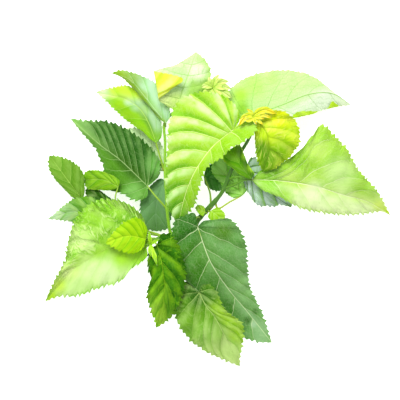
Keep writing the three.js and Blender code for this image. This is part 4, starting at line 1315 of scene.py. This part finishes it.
# %% [markdown]
# ## The leaves at the upper left
# The dark leaf has straight, close side veins in deep furrows, so each vein is drawn and the grid
# is finer. Beyond it are four leaves of the lower left shoot: two in the light, one in their
# shade, and one behind the large leaf.

# %% The dark leaf at the upper left
grow("leaf_upper_left_dark", "large", "leaf_dark", pleat=1.8, columns=32, row=0.6, ribbing=0.75,
     ribbing_side=1, crinkle=0.12, vein_share=0.55, crest_share=0.3,
     tones=((115, 178, 78), (58, 102, 18), (145, 196, 105)), on_left=(92, 152, 42),
     on_right=(46, 98, 4), vein=(196, 230, 150), crest=(170, 215, 130),
     spots=[(-62, 46, 13, (125, 184, 95)), (-86, 17, 12, (135, 195, 100))],
     petiole=[(-51.2, 1, 28), (-62, 13, 29)],
     rib=[(-71, 24, 26), (-98, 50, 24), (-118, 65, 16), (-149.3, 92.5, 0.4)],
     left=[(-71, 14, 26), (-82, 9, 24), (-96, 16, 21), (-109, 21, 16), (-115, 41, 12), (-124, 62, 8),
       (-139, 79.5, 4)],
     right=[(-66, 27, 27), (-58.5, 36, 27), (-59, 50, 26), (-70, 65, 25), (-91, 81, 20), (-110, 89, 12),
       (-134, 90.5, 3)],
     left_veins=[(-71, 24, -76, 10), (-71, 24, -94, 14), (-76, 29, -110, 24), (-87, 40, -116, 43),
       (-98, 50, -122, 58), (-110, 60, -130, 71), (-124, 70, -139, 80)],
     right_veins=[(-71, 24, -59, 36), (-71, 24, -60, 52), (-71, 24, -67, 61), (-72, 25, -79, 72),
       (-79, 32, -90, 80), (-86, 39, -99, 85), (-93, 45, -109, 89), (-100, 52, -117, 90),
       (-108, 59, -126, 91), (-118, 65, -135, 91)])

# %% The far leaves
grow("leaf_left_far", "medium", "leaf_green", pleat=1.2, ribbing=0.6, crinkle=0.3, crest_share=0.3,
     tones=((100, 148, 36), (100, 148, 42), (125, 172, 62)), crest=(170, 215, 110),
     petiole=[(-53, -27, 25.8), (-85, -16, 24), (-112, 1, 24)],
     rib=[(-136, 10, 24), (-150, 28, 18), (-170.3, 55, 7)],
     left=[(-144, 11, 23), (-156, 22, 17), (-166, 33, 12), (-171.5, 45, 9)],
     right=[(-134, 20, 24), (-137, 40, 19), (-148, 49.5, 14), (-161, 54, 9)])
grow("leaf_left_folded", "small", "leaf_young", pleat=0.8, ribbing=0.7, crinkle=0.5, crest_share=0.4,
     tones=((128, 184, 35), (122, 176, 28), (120, 180, 22)), rim=(160, 215, 60), crest=(180, 225, 80),
     petiole=[(-56, -27.5, 28.4), (-80, -16, 33), (-101, 2, 33), (-103, 13, 31)],
     rib=[(-100, 23, 29), (-114, 30, 27), (-136, 30, 13)],
     left=[(-106, 20, 27), (-120, 20, 23), (-132, 22, 15)],
     right=[(-99, 29, 29), (-110, 36.5, 26), (-124, 40, 21), (-134, 38, 14)])
# Its dark greens are painted shade under the leaves beside it.
grow("leaf_left_shadow", "small", "leaf_dark", pleat=0.8,
     tones=((50, 92, 26), (58, 102, 30), (62, 108, 32)), vein=(80, 125, 50),
     petiole=[(-49, -26.5, 22.4), (-70, -24, 17), (-90, -10, 19)],
     rib=[(-104, 2, 21), (-118, 12, 18), (-134, 20, 14)],
     left=[(-107, -3, 21), (-113, -2, 20), (-124, 4, 17), (-132, 12, 15)],
     right=[(-104.5, 8, 21), (-110, 13, 20), (-120, 20, 17), (-129, 23, 15)])
grow("leaf_left_behind", "medium", "leaf_grey", pleat=1.2, ribbing=0.8, crinkle=0.5, crest_share=0.35,
     tones=((88, 150, 18), (108, 168, 38), (205, 238, 190)), vein=(190, 225, 165),
     petiole=[(-60, -29, 32), (-90, -26, 34)],
     rib=[(-118, -12, 29), (-143, -2, 24), (-172.3, -9.4, 11)],
     left=[(-117.5, -19, 29), (-123, -26, 27), (-138, -18, 22), (-148, -12, 19), (-159, -10.6, 15)],
     right=[(-114.5, -6, 30), (-116, 4, 31), (-126, 12.5, 31), (-142, 12, 28), (-156, 4, 20),
       (-165, -4, 15)])

# %% [markdown]
# ## The thin leaves of the left shoot
# The narrow leaf is half folded along its midrib and shows a blue-grey half and a yellow-green
# one. The leaf below it has a bright yellow patch. Behind them are a turned grey leaf, and a
# blue-green one low down beside the shoot.

# %% The narrow leaf and the yellow leaf
grow("leaf_narrow_top", "medium", "leaf_green", pleat=0.8, ribbing=0.4, crest_share=0.15,
     tones=((140, 198, 90), (160, 210, 125), (112, 165, 10)), on_left=(118, 158, 0),
     on_right=(186, 226, 196), vein=(215, 245, 190), crest=(230, 250, 215),
     spots=[(-88, 133, 17, (132, 168, 0)), (-101, 138, 12, (140, 178, 0)),
       (-76, 113, 8, (134, 176, 20))],
     petiole=[(-53, 84, 34)],
     rib=[(-52, 87, 42), (-62, 99, 46), (-73, 113, 47), (-88, 130, 44), (-107, 137, 36)],
     left=[(-59, 91, 42), (-69, 104, 41), (-81, 117, 42), (-93, 130, 40), (-101, 135, 38)],
     right=[(-48, 94, 42), (-50, 107, 41), (-57, 121, 41), (-67, 130, 42), (-84, 137, 41),
       (-98, 140, 38)])
grow("leaf_yellow_upper_left", "medium", "leaf_young", pleat=1.2, fan=1, ribbing=0.3, crest_share=0.12,
     tones=((104, 164, 38), (112, 164, 62), (225, 248, 185)), on_left=(148, 210, 8),
     on_right=(180, 218, 172),
     spots=[(-92, 99, 9, (140, 196, 5)), (-100, 106, 8, (150, 205, 5)), (-90, 109, 5, (190, 222, 180)),
       (-82, 105, 7, (185, 218, 175)), (-73, 102, 8, (158, 200, 120)), (-103, 121, 10, (204, 238, 0)),
       (-92, 121, 12, (200, 238, 0)), (-82, 120, 11, (200, 238, 0)), (-75, 117, 8, (204, 238, 0)),
       (-119, 118, 9, (228, 246, 190)), (-60, 73, 9, (128, 190, 40))],
     petiole=[(-52.9, 38, 31.4), (-56.5, 48, 33)],
     rib=[(-62, 67, 36), (-69, 86, 38), (-78, 101, 35), (-92, 111, 26), (-106, 115, 18),
       (-123.2, 119, 9)],
     left=[(-68, 71, 35), (-76, 79, 32), (-87, 86.5, 27), (-100, 97, 21), (-113, 110, 14)],
     right=[(-57, 73, 36), (-57, 88, 36), (-66, 104, 35), (-78, 117, 33), (-91, 125, 28),
       (-105, 123.5, 20), (-116, 121.5, 13)])

# %% The grey leaf and the low leaf
grow("leaf_grey_behind", "medium", "leaf_grey", pleat=0.8, turned=True,
     tones=((222, 250, 190), (222, 250, 190), (216, 246, 186)), back=(110, 160, 90),
     petiole=[(-52.4, 32, 30.9), (-51.5, 35, 25)],
     rib=[(-54, 39, 20), (-68, 60, 18), (-92, 82, 12)],
     left=[(-66, 40, 17), (-83, 55, 13), (-93, 70, 11)],
     right=[(-51, 48, 20), (-55, 62, 19), (-63, 74, 17), (-78, 82.5, 14)])
grow("leaf_shadow_centre", "medium", "leaf_dark", pleat=1.0, ribbing=0.15, crest_share=0.2,
     tones=((92, 142, 84), (122, 170, 112), (100, 145, 82)), vein=(150, 195, 140),
     crest=(160, 200, 155),
     petiole=[(-52.1, 24, 30.3), (-51.5, 28, 23)],
     rib=[(-54, 30, 16), (-62, 5, 12), (-62, -22, 4)],
     left=[(-49.5, 27, 16), (-46, 16, 14), (-46, 0, 12), (-51, -19, 7)],
     right=[(-58, 31.5, 16), (-66, 26, 14.5), (-77, 12, 12), (-78.5, -5, 9), (-72, -19, 6)])

# %% [markdown]
# ## Two leaflets
# Low on the main shoot a bud has opened into two leaves the size of a fingernail. They are made
# like the others, with thinner stalks and small teeth.

# %% The leaflets
grow("leaflet_stem_left", "leaflet", "leaf_young", pleat=0.4, tooth=1.1, stalk=THIN_STALK,
     tones=((150, 205, 20), (165, 215, 45), (150, 205, 20)),
     petiole=[(-12.5, -2.4, 29.8), (-11, -4, 34)],
     rib=[(-13, -2, 36), (-18, 0, 38.5), (-23, 2, 39)],
     left=[(-15, -6, 37), (-20, -3, 39)],
     right=[(-14, 3, 37), (-20, 5, 39)])
grow("leaflet_stem_right", "leaflet", "leaf_young", pleat=0.4, tooth=1.2, stalk=THIN_STALK,
     tones=((150, 205, 20), (155, 208, 25), (175, 220, 60)),
     petiole=[(-9.5, 1, 32.2), (-9, -2, 36)],
     rib=[(-7, -1, 38.5), (-1, -5.5, 40), (6, -13, 39.5)],
     left=[(-1, 2, 39), (7, -4, 39.5)],
     right=[(-10, -7, 39), (-3, -13, 39.5)])
print(len(leaves), "leaves")

# %% [markdown]
# ## The shoots
# A shoot is a rod that swells a little where each stalk leaves it, with a small pointed bud in
# the angle above. The Skin modifier could grow such a branch round a few edges, but its joints
# are lumpy and the bark's streaks couldn't follow it. The three shoots are one piece, as they grew.

# %% Shoots and their nodes
MAIN_RADIUS = (2.4, 1.5)
SIDE_RADIUS = (1.7, 1.1)
SHOOTS = [  # points, radius at both ends, green
    ([(-32, -52, 4), (-28, -35, 12), (-20, -11, 24), (-7, 4, 34), (3, 16, 40), (8, 26, 44),
      (13, 39, 48), (23, 58, 55), (31, 72, 60), (34, 87, 64), (35, 91, 67)],
     MAIN_RADIUS, (84, 136, 38)),
    ([(-28, -36, 12), (-46, -26, 20), (-50, -10, 26), (-51, 1, 28), (-52, 20, 30), (-53, 45, 32),
      (-53, 68, 33), (-53, 88, 34), (-38, 102, 36), (-16, 113, 41), (-6, 120, 47)],
     SIDE_RADIUS, (150, 206, 50)),
    ([(-46, -26, 20), (-58, -28, 30), (-69, -33, 41)], SIDE_RADIUS, (110, 165, 50)),
]
SHOOT_SIDES = 20
SHOOT_STEP = 0.8
NODE_SWELL, NODE_LENGTH = 0.28, 3.2


def shoot_radii(line, ends, share):
    """A shoot's radius: tapered, and swollen where the stalks leave."""
    radii = np.interp(share, [0, 1], ends)
    points = line.at(share)
    for leaf in leaves:
        gap = np.linalg.norm(points - np.array(leaf["petiole"][0]), axis=1)
        radii = radii * (1 + NODE_SWELL * np.exp(-((gap / NODE_LENGTH) ** 2)))
    return radii


print("main shoot", round(Line(SHOOTS[0][0]).length), "mm long")

# %% Resting buds
BUD_RADIUS, BUD_LENGTH = 1.05, 3.6
BUD_START = (1.2, 1.6)  # out from the shoot and up it, from the foot of the stalk
BUD_LEAN = 0.55


def add_resting_bud(mesh, leaf, line):
    """A small bud in the angle between a stalk and the shoot, if the stalk grows on it."""
    foot = np.array(leaf["petiole"][0], float)
    gaps = np.linalg.norm(line.points - foot, axis=1)
    if gaps.min() > 1.5:
        return
    forward = line.forward(line.share[gaps.argmin()])
    stalk = unit(np.array([*leaf["petiole"], leaf["rib"][0]][1], float) - foot)
    out = unit(stalk - forward * np.dot(stalk, forward))
    start = foot + out * BUD_START[0] + forward * BUD_START[1]
    way = unit(forward + out * BUD_LEAN)
    steps = np.linspace(0, 1, 10)
    radii = BUD_RADIUS * np.sin(math.pi * (0.2 + 0.8 * steps) ** 0.8) ** 0.8
    add_rod(mesh, start + steps[:, None] * way * BUD_LENGTH, radii, 10, 1, np.ones(4))


print("resting buds are", BUD_LENGTH, "mm long")

# %% One piece with a cut end
mesh = bmesh.new()
for points, ends, colour in SHOOTS:
    line = Line(points)
    share = np.linspace(0, 1, round(line.length / SHOOT_STEP))
    radii = shoot_radii(line, ends, share)
    add_rod(mesh, line.at(share), radii, SHOOT_SIDES, 0, green(colour))
    for leaf in leaves:
        if leaf["size"] != "small":
            add_resting_bud(mesh, leaf, line)

cut = placed(np.array(SHOOTS[0][0][0]))
reach = 1.1 * MAIN_RADIUS[0] * MM
for face in mesh.faces:
    if len(face.verts) == 3 and np.linalg.norm(np.array(face.calc_center_median()) - cut) < reach:
        face.material_index = 2
        face.smooth = False
        for edge in face.edges:
            edge.smooth = len(edge.link_faces) == 2 and edge.calc_face_angle(0) < SHARP_ANGLE
shoots = keep(mesh, "shoots", [BARK, BUD_SCALE, CUT_WOOD])
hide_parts("stem")
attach(shoots, "root")
print("shoots", len(shoots.data.polygons), "faces")

# %% [markdown]
# ## Shoot tips
# At each tip new leaves unfold between narrow stipules. Each is a blade of the same kind, small
# and folded along its midrib, with its point curled in. They are joined to one tuft. A few
# copies of one blade, turned about, would look like a flower, so each has a line of its own.

# %% Measures of the tips
TIPS = {  # radius and line of the bud, then each blade's width and midrib
    "bud_right_tip": (1.4, ((35, 91.5, 66), (34.5, 92.5, 76), (34, 93, 83)), [
        (6.5, ((37, 93, 79), (29, 94, 83), (20, 83, 82))),
        (5, ((37, 92, 79), (29, 89, 84), (23, 91, 83))),
        (7, ((34, 93, 79), (44, 99, 83), (58, 95, 81.5))),
        (5, ((34, 92, 79), (42, 94, 84), (53, 91, 83))),
        (3.5, ((35, 92, 80), (40, 88, 84), (45, 84, 84))),
        (3, ((35, 92, 80), (36, 88, 83), (38, 84, 83))),
        (4, ((35, 92, 79), (32, 97, 83), (28, 100, 84))),
        (5, ((35, 92, 80), (40, 92, 84), (46, 90, 84))),
    ]),
    "bud_left_tip": (1.5, ((-69, -33, 40), (-67.5, -34.5, 50), (-66, -34, 58)), [
        (4, ((-67, -34, 55), (-64, -44, 60), (-60.5, -56, 57))),
        (3.5, ((-67, -34, 55), (-68, -41, 59), (-66, -47, 57))),
        (4, ((-67, -34, 55), (-68, -28, 60), (-69, -21, 60))),
        (3, ((-67, -34, 55), (-62, -31, 60), (-58, -29, 60))),
    ]),
    "bud_top": (1.5, ((-6, 120, 46), (-5, 122, 53), (-4, 123, 60)), [
        (8, ((-5, 122, 57), (2, 127, 61), (11, 128, 59))),
        (7.5, ((-5, 122, 57), (4, 123, 62), (14, 120, 61))),
        (9, ((-5, 122, 57), (4, 118, 61), (14, 111, 58))),
        (6.5, ((-5, 122, 57), (-3, 129, 61), (1, 135, 60))),
        (5.5, ((-5, 122, 57), (-8, 128, 61), (-9, 133, 59))),
        (7, ((-5, 122, 57), (-11, 124, 61), (-17, 122, 59))),
        (9, ((-5, 121, 57), (-11, 116, 58), (-16, 110, 56))),
        (8, ((-5, 121, 57), (-2, 115, 60), (3, 108, 57))),
    ]),
}
TUFT_GREENS = {
    "bud_right_tip": ((165, 195, 10), (240, 250, 60), (255, 225, 50)),
    "bud_left_tip": ((150, 215, 30), (188, 242, 40), (150, 218, 12)),
    "bud_top": ((205, 240, 80), (225, 250, 125), (240, 253, 165)),
}
TUFT_FOLD = 0.5  # how far a small blade's margins rise, as a share of its half width
print(sum(len(blades) for _, _, blades in TIPS.values()), "small blades")

# %% Tufts
CORE_SIDES, CORE_STEPS = 12, 14
TUFT_SKINS = [TOPS["leaf_young"], UNDERS["leaf_young"], STALK_SKIN]


def spear(name, rib, width, tones):
    """A stipule or an unfolding leaf, as the measures of a small blade."""
    line = Line(rib)
    share = np.array([0.25, 0.55, 0.8])
    aside = unit(np.cross(line.forward(share), UPRIGHT))
    half = width * np.array([0.42, 0.5, 0.28])[:, None]
    middle = line.at(share) + UPRIGHT * half * TUFT_FOLD
    return {"name": name, "size": "bud", "pleat": 0.25, "crumple": 0.25, "tones": tones,
            "rib": rib, "left": middle - aside * half, "right": middle + aside * half}


def make_tuft(bud, radius, core, blades):
    mesh = bmesh.new()
    tones = TUFT_GREENS[bud]
    share = np.linspace(0, 1, CORE_STEPS)
    radii = radius * np.sin(math.pi * (0.3 + 0.7 * share) ** 1.4) ** 0.6 * 1.1 + 0.05
    add_rod(mesh, Line(core).at(share), radii, CORE_SIDES, SKIN, green(tones[0]))
    for number, (width, rib) in enumerate(blades):
        small = prepare(spear(f"{bud}_{number}", rib, width, tones))
        part = thickened(sheet(small), small["name"], TUFT_SKINS)
        mesh.from_mesh(part.data)
        bpy.data.objects.remove(part)
    soften(mesh)
    thing = keep(mesh, bud + "_tuft", TUFT_SKINS)
    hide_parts(bud)
    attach(thing, "root")
    return thing


tufts = [make_tuft(bud, *measures) for bud, measures in TIPS.items()]
print(len(tufts), "tufts,", sum(len(thing.data.polygons) for thing in tufts), "faces")

# %% [markdown]
# ## The floor
# A plain pale floor, just below the leaves that touch it. It is not part of the object. It glows
# a little, as a light table does, so that it stays white in the shade of the leaves.

# %% Floor
FLOOR_SIZE = 12.0
FLOOR_DROP = 0.0002  # keeps the floor clear of the leaves that touch it
FLOOR_GLOW = 0.68

finish = Finish("floor")
speck = finish.noise(finish.place(), 4.0)
white = finish.mix(speck, (0.93, 0.93, 0.93, 1), (0.95, 0.95, 0.95, 1))
pale = finish.done(white, 0.9, {"Emission Color": white, "Emission Strength": FLOOR_GLOW})
mesh = bmesh.new()
bmesh.ops.create_grid(mesh, x_segments=1, y_segments=1, size=FLOOR_SIZE / 2)
bmesh.ops.translate(mesh, verts=mesh.verts, vec=(0, 0, -FLOOR_DROP))
floor = keep(mesh, "floor", [pale])
print("floor", FLOOR_SIZE, "m wide")
